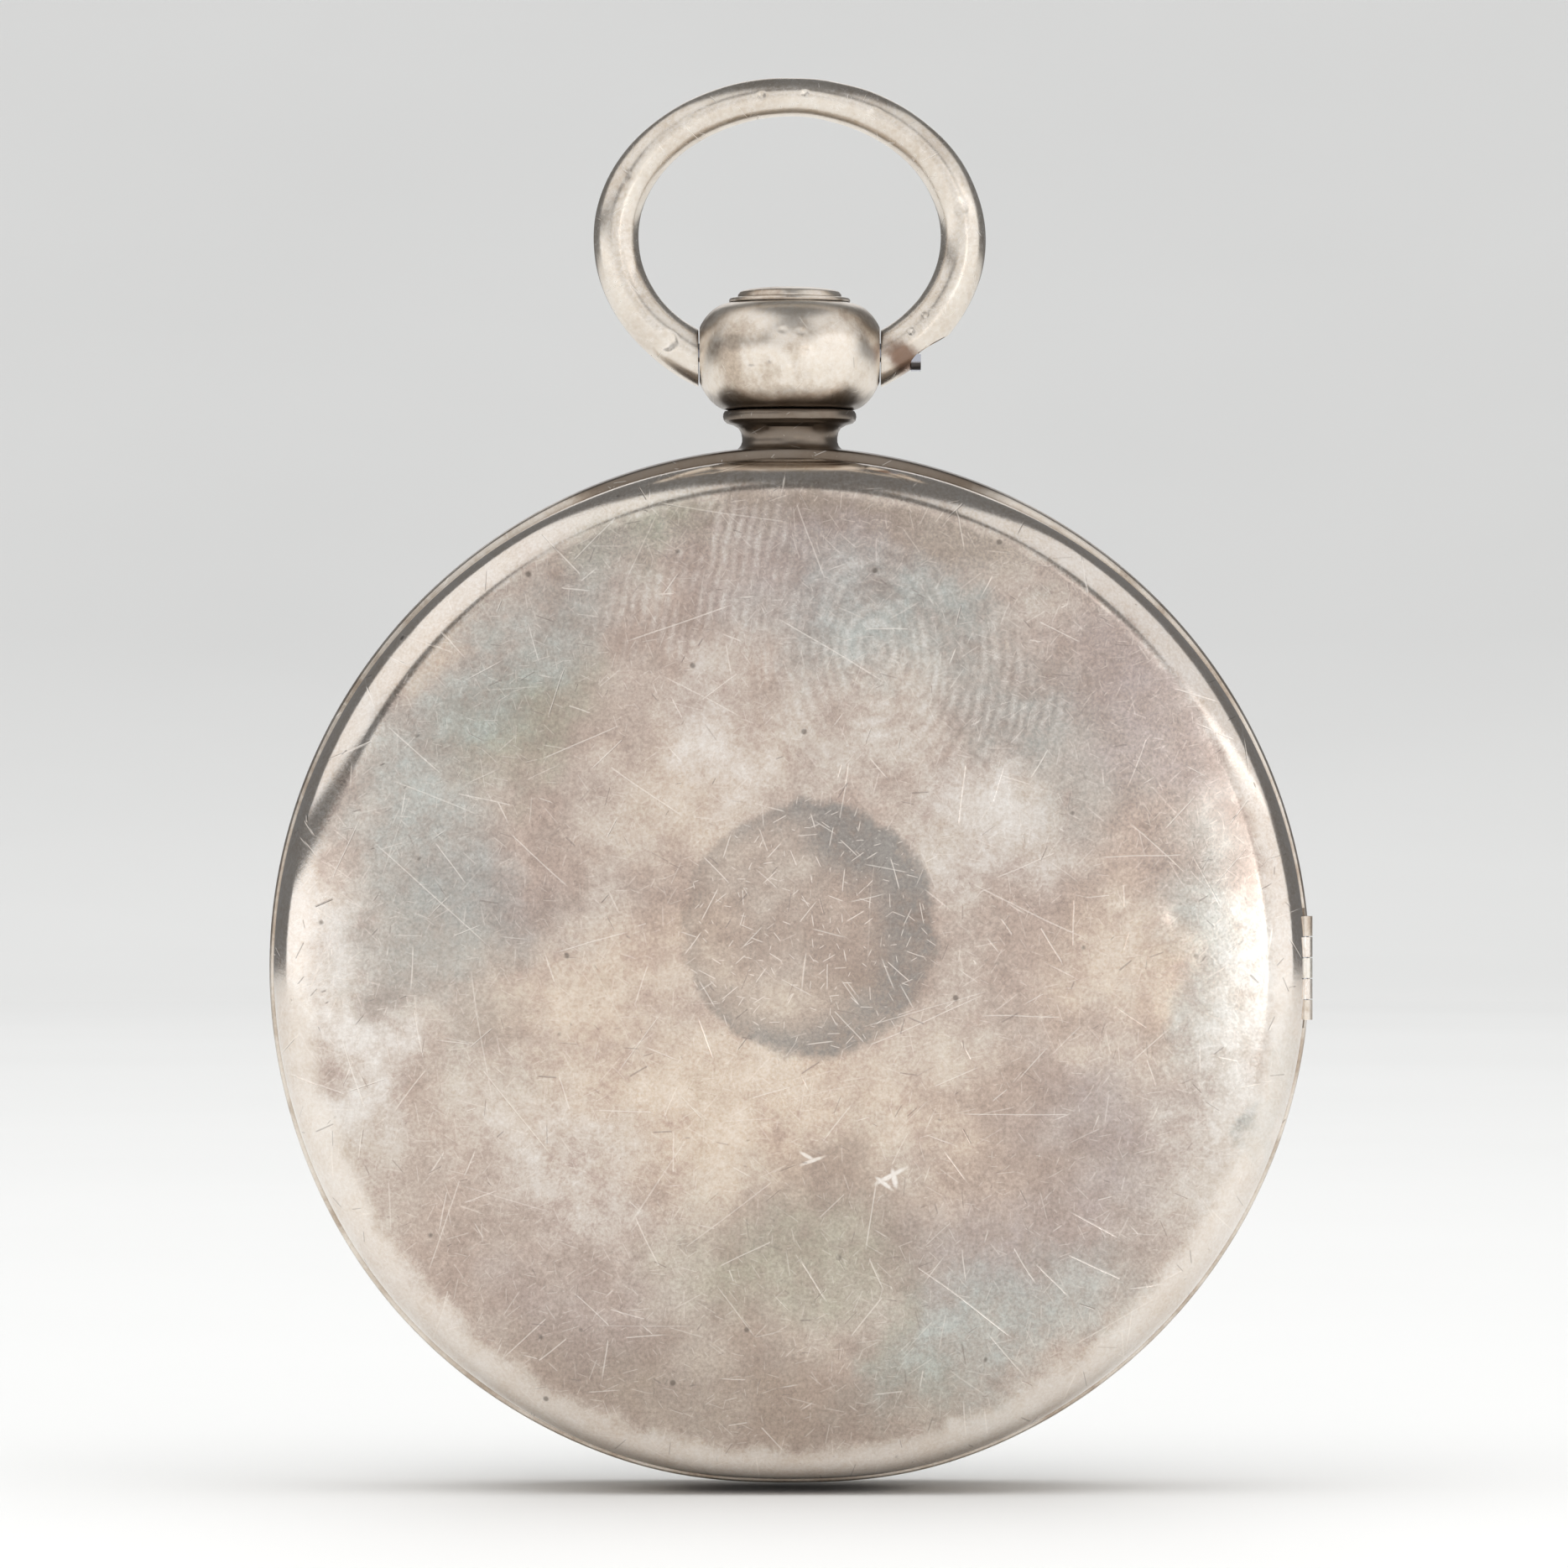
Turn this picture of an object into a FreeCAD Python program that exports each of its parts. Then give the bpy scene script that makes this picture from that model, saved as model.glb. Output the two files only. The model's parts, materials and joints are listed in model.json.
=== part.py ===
import FreeCAD, Part
import math
import os
import re
import Sketcher
from FreeCAD import Placement, Rotation, Vector

# Open-face key-wind fob watch. Every piece is drawn as seen from the back of the watch: x to the
# right, y towards the pendant, z out of the back, with the middle plane of the case at z = 0 and its
# axis at x = y = 0. BACK_VIEW then stands the watch upright, hanging from the eye of its bow, with the
# dial facing -Y. All lengths are millimetres and all angles degrees.
BACK_VIEW = Rotation(Vector(0, 1, 1), 180)
TURN_AXES = {"z": Rotation(), "x": Rotation(Vector(0, 1, 0), 90), "y": Rotation(Vector(1, 0, 0), -90)}

SIZES = {
    # case middle and the two parting planes
    "case_drop": 39.23, "band_radius": 24.0, "band_edge": 23.75, "band_half": 2.8,
    "plate_bore": 20.35, "ledge_radius": 19.7, "ledge_low": -0.7, "ledge_high": -0.1,
    "well_radius": 20.9, "lip_radius": 22.9, "lip_height": 0.42, "seat_radius": 21.6,
    "seat_depth": 0.6, "leaf_gap": 0.03,
    # back cover
    "cover_radius": 23.67, "cover_bore": 23.0, "corner_radius": 2.2, "cover_wall": 0.5,
    "cover_apex": 5.98, "worn_flat": 5.8, "dome_slope": 7, "meet_angle": 25.8,
    # inner cover
    "inner_radius": 22.45, "inner_low": 3.27, "inner_wall": 0.35, "inner_apex": 4.6,
    "inner_step": 20.7, "inner_dome": 19.4, "inner_shoulder": 4.2, "inner_thick": 0.4,
    "spigot_outer": 21.5, "spigot_inner": 21.1, "spigot_low": 2.85, "key_hole": 1.9,
    # bezel and crystal
    "bezel_edge": 23.7, "bezel_bore": 23.0, "bezel_mouth": 20.9, "bezel_front": -5.2,
    "bezel_shoulder": 22.2, "bezel_inner_low": -3.25, "rebate_radius": 21.55, "rebate_low": -4.5,
    "crystal_radius": 21.5, "crystal_edge": -5.0, "crystal_flat": 17.2, "crystal_front": -6.95,
    "crystal_thick": 0.8,
    # hinges
    "hinge_x": 23.55, "knuckle_radius": 0.42, "relief_radius": 0.47, "relief_over": 0.35,
    "hinge_half": 2.4, "pin_radius": 0.2, "pin_bore": 0.23, "knuckle_gap": 0.05, "web_wide": 0.6,
    # pendant, cap and bow (heights are from the bow pivot)
    "pivot_drop": 10.9, "barrel_half": 4.15, "barrel_top": 2.3, "barrel_bulge": 4.5,
    "shoulder_radius": 4.38, "shoulder_high": 0.95, "shoulder_low": -1.45, "shoulder_round": 0.62,
    "barrel_low": -2.66, "collar_radius": 3.0, "collar_low": -3.3, "neck_top": 2.36,
    "neck_radius": 2.2, "neck_low": -4.0, "foot_radius": 2.6, "foot_low": -6.2,
    "mouth_radius": 2.85, "socket_radius": 1.2, "socket_depth": 1.0, "cap_radius": 2.8,
    "cap_lip": 0.22, "cap_ring": 0.45, "cap_dome": 0.75, "cap_ring_radius": 2.35,
    "screw_bore": 0.52, "screw_radius": 0.45, "bow_half_width": 8.02, "bow_half_height": 6.51,
    "bow_centre_drop": 5.62, "bow_top_radius": 0.91, "bow_side_radius": 1.065,
    "bow_end_radius": 1.2, "bow_end_angle": 152, "bow_face": 4.21,
    "bow_screw_head": 0.85, "head_thick": 0.45, "bow_screw_half": 6.05,
    # plates
    "plate_radius": 20.3, "plate_low": -2.25, "plate_high": -0.75, "plate_rim_low": -3.25,
    "plate_recess": 18.9, "cock_low": 1.85, "cock_high": 2.85,
    "dial_radius": 20.6, "dial_low": -4.0, "dial_high": -3.26, "dial_hole": 0.95,
    "sunk_radius": 5.0, "sunk_low": -3.85, "sunk_high": -3.45, "dial_foot": 0.45,
    "dial_foot_reach": 19.6, "dial_foot_long": 0.9,
    # going train: teeth and modules
    "barrel_teeth": 80, "centre_leaves": 10, "barrel_module": 0.19,
    "centre_teeth": 80, "third_leaves": 10, "centre_module": 0.15,
    "third_teeth": 75, "fourth_leaves": 10, "third_module": 0.13,
    "fourth_teeth": 80, "escape_leaves": 8, "fourth_module": 0.11,
    "escape_teeth": 15, "escape_radius": 3.0, "escape_root": 2.35,
    "barrel_angle": 115, "third_angle": -57.09, "fourth_angle": -131.58, "escape_angle": 199.99,
    "cannon_leaves": 12, "minute_teeth": 36, "motion_module": 0.16,
    "minute_leaves": 10, "hour_teeth": 40, "hour_module": 0.1536, "minute_angle": 60,
    # lever and balance positions, from the case axis
    "lever_x": -7.2, "lever_y": -9.23, "balance_x": -10.29, "balance_y": -6.63,
    # arbors and jewels
    "pivot_radius": 0.12, "jewel_bore": 0.15, "jewel_radius": 0.6, "jewel_thick": 0.4,
    "jewel_lap": 0.3, "arbor_radius": 0.4, "end_shake": 0.03,
    # barrel
    "drum_radius": 7.1, "drum_low": -0.55, "drum_high": 1.05, "flange_high": 0.0,
    "drum_cover_high": 1.25, "drum_wall": 0.35, "drum_floor": 0.2, "hub_radius": 0.9,
    "hub_bore": 0.94, "lid_radius": 6.9, "square_half": 0.6, "square_top": 4.95,
    "spring_inner": 1.5, "spring_outer": 6.4, "spring_turns": 11, "spring_thick": 0.18,
    "ratchet_radius": 3.2, "ratchet_root": 2.85, "ratchet_teeth": 30, "ratchet_high": 3.25,
    # balance
    "rim_radius": 6.5, "rim_inner": 5.9, "rim_low": 2.1, "rim_high": 2.7, "arm_width": 0.9,
    "arm_low": 2.2, "arm_high": 2.5, "hub_size": 0.95, "timing_head": 0.32, "timing_long": 0.5,
    "timing_count": 12, "roller_radius": 1.1, "roller_low": 0.6, "roller_high": 0.85,
    "impulse_reach": 0.75, "impulse_radius": 0.09, "staff_radius": 0.4,
    "hair_inner": 0.75, "hair_outer": 3.1, "hair_turns": 9, "hair_thick": 0.06,
    "hair_low": 2.8, "hair_high": 2.9, "balance_cock_low": 3.0, "balance_cock_high": 3.7,
    # lever
    "lever_low": 0.15, "lever_high": 0.45, "fork_reach": 3.14, "pallet_inner": 3.35,
    "pallet_outer": 3.85, "pallet_span": 40, "stone_wide": 0.3,
    "banking_reach": 2.4, "banking_side": 0.68, "banking_radius": 0.15,
    # motion work and hands
    "set_radius": 0.3, "tube_bore": 0.33, "cannon_radius": 0.6, "cannon_low": -2.62,
    "cannon_high": -2.33, "pipe_bore": 0.63, "pipe_radius": 0.86, "hour_low": -3.08,
    "hour_high": -2.82, "minute_low": -2.6, "minute_high": -2.35, "post_radius": 0.3,
    "hour_hand_low": -4.65, "hour_hand_high": -4.45, "minute_hand_low": -5.05,
    "minute_hand_high": -4.85, "hour_hand_long": 10.5, "minute_hand_long": 15.8,
    "seconds_hand_low": -4.3, "seconds_hand_high": -4.16, "seconds_hand_long": 4.2,
    "hour_at": 57, "minute_at": -36, "seconds_at": 150,
    # screws and the click work
    "head_radius": 0.75, "head_high": 0.4, "slot_wide": 0.2, "slot_deep": 0.15,
    "shank_radius": 0.35, "shank_long": 1.0, "click_x": 1.75, "click_y": 8.9,
    "click_long": 3.6, "regulator_low": 3.75, "regulator_high": 3.92,
}

# Each cock: the arbor it carries (x, y), direction and distance to its foot, half width, heights.
COCKS = {
    "centre_bridge": ("0", "0", 15.42, 15.04, 1.6, "cock_low", "cock_high"),
    "third_cock": ("third_x", "third_y", -29.85, 11.22, 1.45, "cock_low", "cock_high"),
    "fourth_cock": ("fourth_x", "fourth_y", -72.0, 8.1, 1.35, "cock_low", "cock_high"),
    "escape_cock": ("escape_x", "escape_y", -118.0, 5.9, 1.15, "1.3", "1.9"),
    "pallet_cock": ("lever_x", "lever_y", -135.2, 6.06, 1.05, "0.8", "1.6"),
    "balance_cock": ("balance_x", "balance_y", 125.0, 10.3, 1.9, "balance_cock_low",
                     "balance_cock_high"),
}
BRIDGE_TURN, BRIDGE_REACH, BRIDGE_HALF = -5.0, 11.3, 2.1
CLICK_TURN, STUD_TURN = 153.0, 125.0
DIAL_FEET = (20, 140, 265)


def centre_distance(module, wheel, pinion):
    return f"({module} * ({wheel} + {pinion}) / 2)"


def away(start, reach, angle):
    """Point at a distance and direction from another point, as two expressions."""
    return (f"({start[0]} + ({reach}) * cos({angle}))", f"({start[1]} + ({reach}) * sin({angle}))")


CENTRE = ("0", "0")
BARREL = away(CENTRE, centre_distance("barrel_module", "barrel_teeth", "centre_leaves"), "barrel_angle")
THIRD = away(CENTRE, centre_distance("centre_module", "centre_teeth", "third_leaves"), "third_angle")
FOURTH = away(THIRD, centre_distance("third_module", "third_teeth", "fourth_leaves"), "fourth_angle")
ESCAPE = away(FOURTH, centre_distance("fourth_module", "fourth_teeth", "escape_leaves"), "escape_angle")
LEVER = ("lever_x", "lever_y")
BALANCE = ("balance_x", "balance_y")
CLICK = ("click_x", "click_y")
MINUTE = away(CENTRE, centre_distance("motion_module", "cannon_leaves", "minute_teeth"), "minute_angle")
PLACES = {"third_x": THIRD[0], "third_y": THIRD[1], "fourth_x": FOURTH[0], "fourth_y": FOURTH[1],
          "escape_x": ESCAPE[0], "escape_y": ESCAPE[1]}

DOC = FreeCAD.newDocument("fob_watch")
DIMS = DOC.addObject("Spreadsheet::Sheet", "Dims")
for row, (alias, value) in enumerate(SIZES.items(), 1):
    DIMS.set(f"A{row}", str(value))
    DIMS.setAlias(f"A{row}", alias)
DOC.recompute()
NODES = []


def linked(expression):
    """Point every size name in an expression at its cell of the sheet."""
    text = re.sub(r"[a-z_]+", lambda m: PLACES.get(m.group(), m.group()), str(expression))
    return re.sub(r"[a-z_]+", lambda m: "Dims." + m.group() if m.group() in SIZES else m.group(), text)


def number(expression):
    return float(DIMS.evalExpression(linked(expression)))


def bind(thing, prop, expression):
    """Set a size now and keep it bound to the sheet."""
    thing.setExpression(prop, linked(expression))


def stand(thing, spot=CENTRE, turn=0.0, lift="0"):
    """Place a piece, drawn about its own axis, at its spot in the upright watch."""
    x, y = spot
    base = Vector(-number(x), number(lift), number(y) - number("case_drop"))
    thing.Placement = Placement(base, BACK_VIEW * Rotation(Vector(0, 0, 1), turn))
    bind(thing, "Placement.Base.x", f"-({x})")
    bind(thing, "Placement.Base.y", lift)
    bind(thing, "Placement.Base.z", f"({y}) - case_drop")


def body(label, spot=CENTRE, turn=0.0):
    piece = DOC.addObject("PartDesign::Body", label)
    piece.Label = label
    stand(piece, spot, turn)
    NODES.append(piece)
    return piece


def locate(feature, at, axis="z", turn=0.0):
    start = Vector(*(number(value) for value in at))
    feature.Placement = Placement(start, Rotation(Vector(0, 0, 1), turn) * TURN_AXES[axis])
    for key, value in zip("xyz", at):
        bind(feature, f"Placement.Base.{key}", value)


def rod(piece, at, length, radius, axis="z", cut=False, name="rod"):
    kind = "PartDesign::SubtractiveCylinder" if cut else "PartDesign::AdditiveCylinder"
    feature = piece.newObject(kind, name)
    feature.Height, feature.Radius = number(length), number(radius)
    bind(feature, "Height", length)
    bind(feature, "Radius", radius)
    locate(feature, at, axis)
    return feature


def bore(piece, at, length, radius, axis="z", name="bore"):
    return rod(piece, at, length, radius, axis, True, name)


def block(piece, at, size, cut=False, turn=0.0, name="block"):
    kind = "PartDesign::SubtractiveBox" if cut else "PartDesign::AdditiveBox"
    feature = piece.newObject(kind, name)
    for prop, value in zip(("Length", "Width", "Height"), size):
        setattr(feature, prop, number(value))
        bind(feature, prop, value)
    locate(feature, at, "z", turn)
    return feature


def plane_of(piece, role):
    return next(item for item in piece.Origin.OriginFeatures if item.Role == role)


def outline(piece, role, path, name, level="0"):
    """Closed sketch. A pair is a straight step to that corner; four values are an arc through a point."""
    sketch = piece.newObject("Sketcher::SketchObject", name)
    sketch.AttachmentSupport = (plane_of(piece, role), [""])
    sketch.MapMode = "FlatFace"
    sketch.AttachmentOffset = Placement(Vector(0, 0, number(level)), Rotation())
    bind(sketch, "AttachmentOffset.Base.z", level)
    ends = [Vector(number(step[-2]), number(step[-1]), 0) for step in path]
    edges = []
    for index, step in enumerate(path):
        start, end = ends[index - 1], ends[index]
        if len(step) == 2:
            edges.append(sketch.addGeometry(Part.LineSegment(start, end)))
        else:
            middle = Vector(number(step[0]), number(step[1]), 0)
            edges.append(sketch.addGeometry(Part.Arc(start, middle, end)))
            mark = sketch.addGeometry(Part.Point(middle), True)
            sketch.addConstraint(Sketcher.Constraint("PointOnObject", mark, 1, edges[-1]))
            pin_down(sketch, mark, 1, step[0], step[1])
    for index, step in enumerate(path):
        tail = near_end(sketch, edges[index], ends[index])
        head = near_end(sketch, edges[(index + 1) % len(path)], ends[index])
        sketch.addConstraint(Sketcher.Constraint("Coincident", edges[index], tail,
                                                 edges[(index + 1) % len(path)], head))
        pin_down(sketch, edges[index], tail, step[-2], step[-1])
    return sketch


def near_end(sketch, edge, point):
    """Which end of a sketch edge, 1 or 2, is at a point."""
    return min((1, 2), key=lambda end: sketch.getPoint(edge, end).distanceToPoint(point))


def pin_down(sketch, edge, end, across, up):
    """Hold a sketch point at its two coordinates."""
    for kind, line, value in (("DistanceX", -2, across), ("DistanceY", -1, up)):
        if abs(number(value)) < 1e-9:
            sketch.addConstraint(Sketcher.Constraint("PointOnObject", edge, end, line))
        else:
            row = sketch.addConstraint(Sketcher.Constraint(kind, -1, 1, edge, end, number(value)))
            bind(sketch, f"Constraints[{row}]", value)


def turned(piece, path, cut=False, upright=False, name="turned"):
    """Lathe work about the watch axis, or about the upright pendant axis."""
    sketch = outline(piece, "XY_Plane" if upright else "XZ_Plane", path, name + "_section")
    feature = piece.newObject("PartDesign::Groove" if cut else "PartDesign::Revolution", name)
    feature.Profile = sketch
    feature.ReferenceAxis = (sketch, ["V_Axis"])
    feature.Angle = 360
    return feature


def plate(piece, path, low, high, name="plate"):
    """Flat piece of any outline between two heights."""
    sketch = outline(piece, "XY_Plane", path, name + "_outline", low)
    feature = piece.newObject("PartDesign::Pad", name)
    feature.Profile = sketch
    feature.Length = number(f"{high} - ({low})")
    bind(feature, "Length", f"{high} - ({low})")
    return feature


def punched(piece, path, count, name="gap"):
    """Cut one outline through the piece and repeat it around the axis."""
    sketch = outline(piece, "XY_Plane", path, name + "_outline")
    feature = piece.newObject("PartDesign::Pocket", name)
    feature.Profile = sketch
    feature.Type = "ThroughAll"
    feature.Midplane = True
    ring = piece.newObject("PartDesign::PolarPattern", name + "_ring")
    ring.Originals = [feature]
    ring.Axis = (sketch, ["N_Axis"])
    ring.Angle = 360
    ring.Occurrences = int(number(count))
    bind(ring, "Occurrences", count)
    piece.Tip = ring


def polar(radius, angle):
    return (f"({radius}) * cos({angle})", f"({radius}) * sin({angle})")


def tooth_gap(teeth, module):
    """Space between two teeth, opening outwards."""
    pitch, root = f"{module} * {teeth} / 2", f"{module} * ({teeth} / 2 - 1.25)"
    tip = f"{module} * ({teeth} / 2 + 1.4)"
    wide = [(root, f"80 / {teeth}"), (pitch, f"100 / {teeth}"), (tip, f"160 / {teeth}")]
    right = [polar(radius, f"-({angle})") for radius, angle in wide]
    left = [polar(radius, angle) for radius, angle in reversed(wide)]
    return right + left


def toothed(piece, teeth, module, low, high):
    rod(piece, ("0", "0", low), f"{high} - ({low})", f"{module} * ({teeth} / 2 + 0.9)", name="blank")
    punched(piece, tooth_gap(teeth, module), teeth, "tooth_gap")


def windows(piece, hub, rim, spokes):
    """Crossed-out openings that leave spokes between hub and rim."""
    inner, outer = 180 / spokes * 0.62, 180 / spokes * 0.86
    punched(piece, [polar(hub, 0) + polar(hub, -inner), polar(rim, -outer),
                    polar(rim, 0) + polar(rim, outer), polar(hub, inner)], spokes, "window")


def meshed(turn, teeth, mate_teeth, angle):
    """Turn of a mate whose teeth meet the spaces of a wheel, in a given direction from the wheel."""
    pitch, mate_pitch = 360 / number(teeth), 360 / number(mate_teeth)
    shift = (turn - number(angle)) / pitch
    return number(angle) + 180 + mate_pitch * (0.5 - shift)


def arbor(piece, low, high, radius="arbor_radius", pivots=True):
    """Staff between two plates with a fine pivot at each end."""
    rod(piece, ("0", "0", f"{low} + end_shake"), f"{high} - ({low}) - 2 * end_shake", radius,
        name="arbor")
    if pivots:
        rod(piece, ("0", "0", f"{low} - jewel_lap"), f"{high} - ({low}) + 2 * jewel_lap",
            "pivot_radius", name="pivots")


# ---------------------------------------------------------------- case
def hinge_segments(count):
    """Start and length of each knuckle along the hinge, end to end with small gaps."""
    share = f"(2 * hinge_half / {count})"
    return [(f"-hinge_half + {index} * {share} + knuckle_gap / 2", f"{share} - knuckle_gap")
            for index in range(count)]


def relieve(piece, level):
    bore(piece, ("hinge_x", "-hinge_half - relief_over", level), "2 * hinge_half + 2 * relief_over",
         "relief_radius", "y", "hinge_relief")


def knuckles(piece, level, chosen, count, web):
    """Hinge knuckles with webs to their leaf, then bored for the pin."""
    for index in chosen:
        start, length = hinge_segments(count)[index]
        rod(piece, ("hinge_x", start, level), length, "knuckle_radius", "y", name="knuckle")
        low_x, low_z, size_x, size_z = web
        block(piece, (low_x, start, low_z), (size_x, length, size_z), name="knuckle_web")
    bore(piece, ("hinge_x", "-hinge_half", level), "2 * hinge_half", "pin_bore", "y", "pin_bore")


def case_middle():
    piece = body("case_middle")
    top = "band_half + lip_height"
    turned(piece, [
        ("band_edge", "-band_half"), ("band_radius", "0", "band_edge", "band_half"),
        ("lip_radius", "band_half"), ("lip_radius", top), ("seat_radius", top),
        ("seat_radius", "band_half - seat_depth"), ("well_radius", "band_half - seat_depth"),
        ("well_radius", "ledge_high"), ("ledge_radius", "ledge_high"), ("ledge_radius", "ledge_low"),
        ("plate_bore", "ledge_low"), ("plate_bore", f"-({top})"), ("lip_radius", f"-({top})"),
        ("lip_radius", "-band_half")], name="band")
    relieve(piece, "band_half")
    relieve(piece, "-band_half")
    root = "hinge_x - web_wide"
    knuckles(piece, "band_half", (0, 4), 5, (root, "band_half - 0.75", "web_wide", "0.5"))
    knuckles(piece, "-band_half", (0, 2), 3, (root, "-band_half + 0.25", "web_wide", "0.5"))
    bore(piece, ("0", "band_radius - 2.5", "0"), "3", "1.5", "y", "pendant_hole")


def hinge_pin(label, level):
    piece = body(label)
    rod(piece, ("hinge_x", "-hinge_half + 0.1", level), "2 * hinge_half - 0.2", "pin_radius", "y")


def back_cover():
    piece = body("back_cover")
    low = "band_half + leaf_gap"
    round_r = "cover_radius - corner_radius"
    tilt = "(90 - dome_slope)"
    inner_r = "(corner_radius - cover_wall)"
    end_r, end_z = f"{round_r} + corner_radius * cos{tilt}", f"{low} + corner_radius * sin{tilt}"
    in_r, in_z = f"{round_r} + {inner_r} * cos{tilt}", f"{low} + {inner_r} * sin{tilt}"
    meet = "meet_angle"
    turned(piece, [
        ("cover_bore", low), ("cover_radius", low),
        (f"{round_r} + corner_radius * cos({tilt} / 2)", f"{low} + corner_radius * sin({tilt} / 2)",
         end_r, end_z),
        (f"(worn_flat + {end_r}) / 2", f"cover_apex - (cover_apex - ({end_z})) * 0.25",
         "worn_flat", "cover_apex"),
        ("0", "cover_apex"), ("0", "cover_apex - cover_wall"), ("worn_flat", "cover_apex - cover_wall"),
        (f"(worn_flat + {in_r}) / 2",
         f"cover_apex - cover_wall - (cover_apex - cover_wall - ({in_z})) * 0.25", in_r, in_z),
        (f"{round_r} + {inner_r} * cos(({tilt} + {meet}) / 2)",
         f"{low} + {inner_r} * sin(({tilt} + {meet}) / 2)", "cover_bore",
         f"{low} + {inner_r} * sin({meet})")], name="shell")
    relieve(piece, "band_half")
    start, length = hinge_segments(5)[2]
    block(piece, ("cover_bore - 0.4", f"{start} - knuckle_gap", low),
          ("1.4", f"{length} + 2 * knuckle_gap", "0.95"), cut=True, name="web_notch")
    knuckles(piece, "band_half", (1, 3), 5, ("hinge_x - 0.4", "band_half + 0.1", "0.4", "0.75"))


def inner_cover():
    piece = body("inner_cover")
    under = "(inner_apex - inner_thick)"
    turned(piece, [
        ("inner_radius", "inner_low"), ("inner_radius", "inner_low + inner_wall"),
        ("inner_step", "inner_low + inner_wall"),
        ("inner_dome + 0.35", "inner_shoulder - 0.2", "inner_dome", "inner_shoulder"),
        ("inner_dome / 2", "inner_apex - (inner_apex - inner_shoulder) / 4", "0", "inner_apex"),
        ("0", under),
        ("inner_dome / 2", f"{under} - (inner_apex - inner_shoulder) / 4", "inner_dome - 0.1",
         "inner_shoulder - inner_thick"),
        ("inner_step - 0.6", "inner_low"), ("spigot_inner", "inner_low"),
        ("spigot_inner", "spigot_low"), ("spigot_outer", "spigot_low"),
        ("spigot_outer", "inner_low")], name="dome")
    for spot in (CENTRE, BARREL):
        bore(piece, spot + ("inner_low",), "2", "key_hole", name="key_hole")
    web = ("inner_radius - 0.5", "inner_low", "hinge_x - inner_radius + 0.5", "inner_wall")
    start, length = hinge_segments(5)[2]
    block(piece, ("hinge_x - 0.35", start, "band_half + 0.15"), ("0.35", length, "0.45"),
          name="knuckle_root")
    knuckles(piece, "band_half", (2,), 5, web)


def bezel_ring():
    piece = body("bezel_ring")
    low = "-band_half - leaf_gap"
    turned(piece, [
        ("bezel_bore", low), ("bezel_edge", low),
        ("bezel_edge - 0.35", "(bezel_front - band_half) / 2 - 0.35", "bezel_shoulder", "bezel_front"),
        ("rebate_radius", "bezel_front"), ("rebate_radius", "rebate_low"), ("bezel_mouth", "rebate_low"),
        ("bezel_mouth", "bezel_inner_low"), ("bezel_bore", "bezel_inner_low")], name="bezel")
    relieve(piece, "-band_half")
    knuckles(piece, "-band_half", (1,), 3, ("hinge_x - 0.4", "-band_half - 0.85", "0.4", "0.75"))


def crystal():
    piece = body("crystal")
    inner = "crystal_front + crystal_thick"
    turned(piece, [
        ("crystal_radius", "rebate_low"), ("crystal_radius", "crystal_edge"),
        ("crystal_radius - 1.3", "crystal_edge - 1.1", "crystal_flat", "crystal_front"),
        ("0", "crystal_front"), ("0", inner), ("crystal_flat - 0.3", inner),
        ("crystal_radius - 2.1", "crystal_edge - 0.6", "crystal_radius - 0.8", "rebate_low")], name="glass")


def pendant():
    piece = body("pendant")
    up = "case_drop - pivot_drop"
    turned(piece, [
        ("0", f"{up} + barrel_top"), ("mouth_radius", f"{up} + barrel_top"),
        ("shoulder_radius - shoulder_round * 0.6", f"{up} + barrel_top - shoulder_round * 0.7",
         "shoulder_radius", f"{up} + shoulder_high"),
        ("barrel_bulge", f"{up} + (shoulder_high + shoulder_low) / 2",
         "shoulder_radius", f"{up} + shoulder_low"),
        ("shoulder_radius - shoulder_round * 0.6", f"{up} + barrel_low + shoulder_round * 0.75",
         "collar_radius", f"{up} + barrel_low"),
        ("collar_radius", f"{up} + collar_low"), ("neck_top", f"{up} + collar_low - 0.25"),
        ("neck_radius", f"{up} + neck_low", "foot_radius", f"{up} + neck_low - 0.7"),
        ("foot_radius", f"{up} + foot_low"), ("0", f"{up} + foot_low")], upright=True, name="stem")
    for side in ("barrel_half", "-barrel_half - 2"):
        block(piece, (side, f"{up} - 2.6", "-3"), ("2", "5.2", "6"), cut=True, name="bow_flat")
    bore(piece, ("-5", up, "0"), "10", "screw_bore", "x", "screw_bore")
    bore(piece, ("0", f"{up} + barrel_top - socket_depth", "0"), "socket_depth", "socket_radius", "y",
         "socket")
    turned(piece, [("0", "-6"), ("band_edge - 0.3", "-6"), ("band_edge - 0.3", "-band_half"),
                   ("band_edge", "-band_half"), ("band_radius", "0", "band_edge", "band_half"),
                   ("band_edge - 0.3", "band_half"), ("band_edge - 0.3", "6"), ("0", "6")],
           cut=True, name="saddle")
    rod(piece, ("0", "band_radius - 2.5", "0"), "3", "1.5", "y", name="spigot")
    turned(piece, [("0", "-3"), ("plate_bore + 1.3", "-3"), ("plate_bore + 1.3", "3"), ("0", "3")],
           cut=True, name="spigot_end")


def pendant_cap():
    piece = body("pendant_cap")
    top = "case_drop - pivot_drop + barrel_top"
    turned(piece, [
        ("0", f"{top} - socket_depth + 0.1"), ("socket_radius", f"{top} - socket_depth + 0.1"),
        ("socket_radius", top), ("cap_radius", top), ("cap_radius", f"{top} + cap_lip"),
        ("cap_ring_radius", f"{top} + cap_lip"), ("cap_ring_radius", f"{top} + cap_ring"),
        ("cap_ring_radius / 2", f"{top} + cap_dome - 0.08", "0.35", f"{top} + cap_dome"),
        ("0", f"{top} + cap_dome")],
        upright=True, name="cap")


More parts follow.
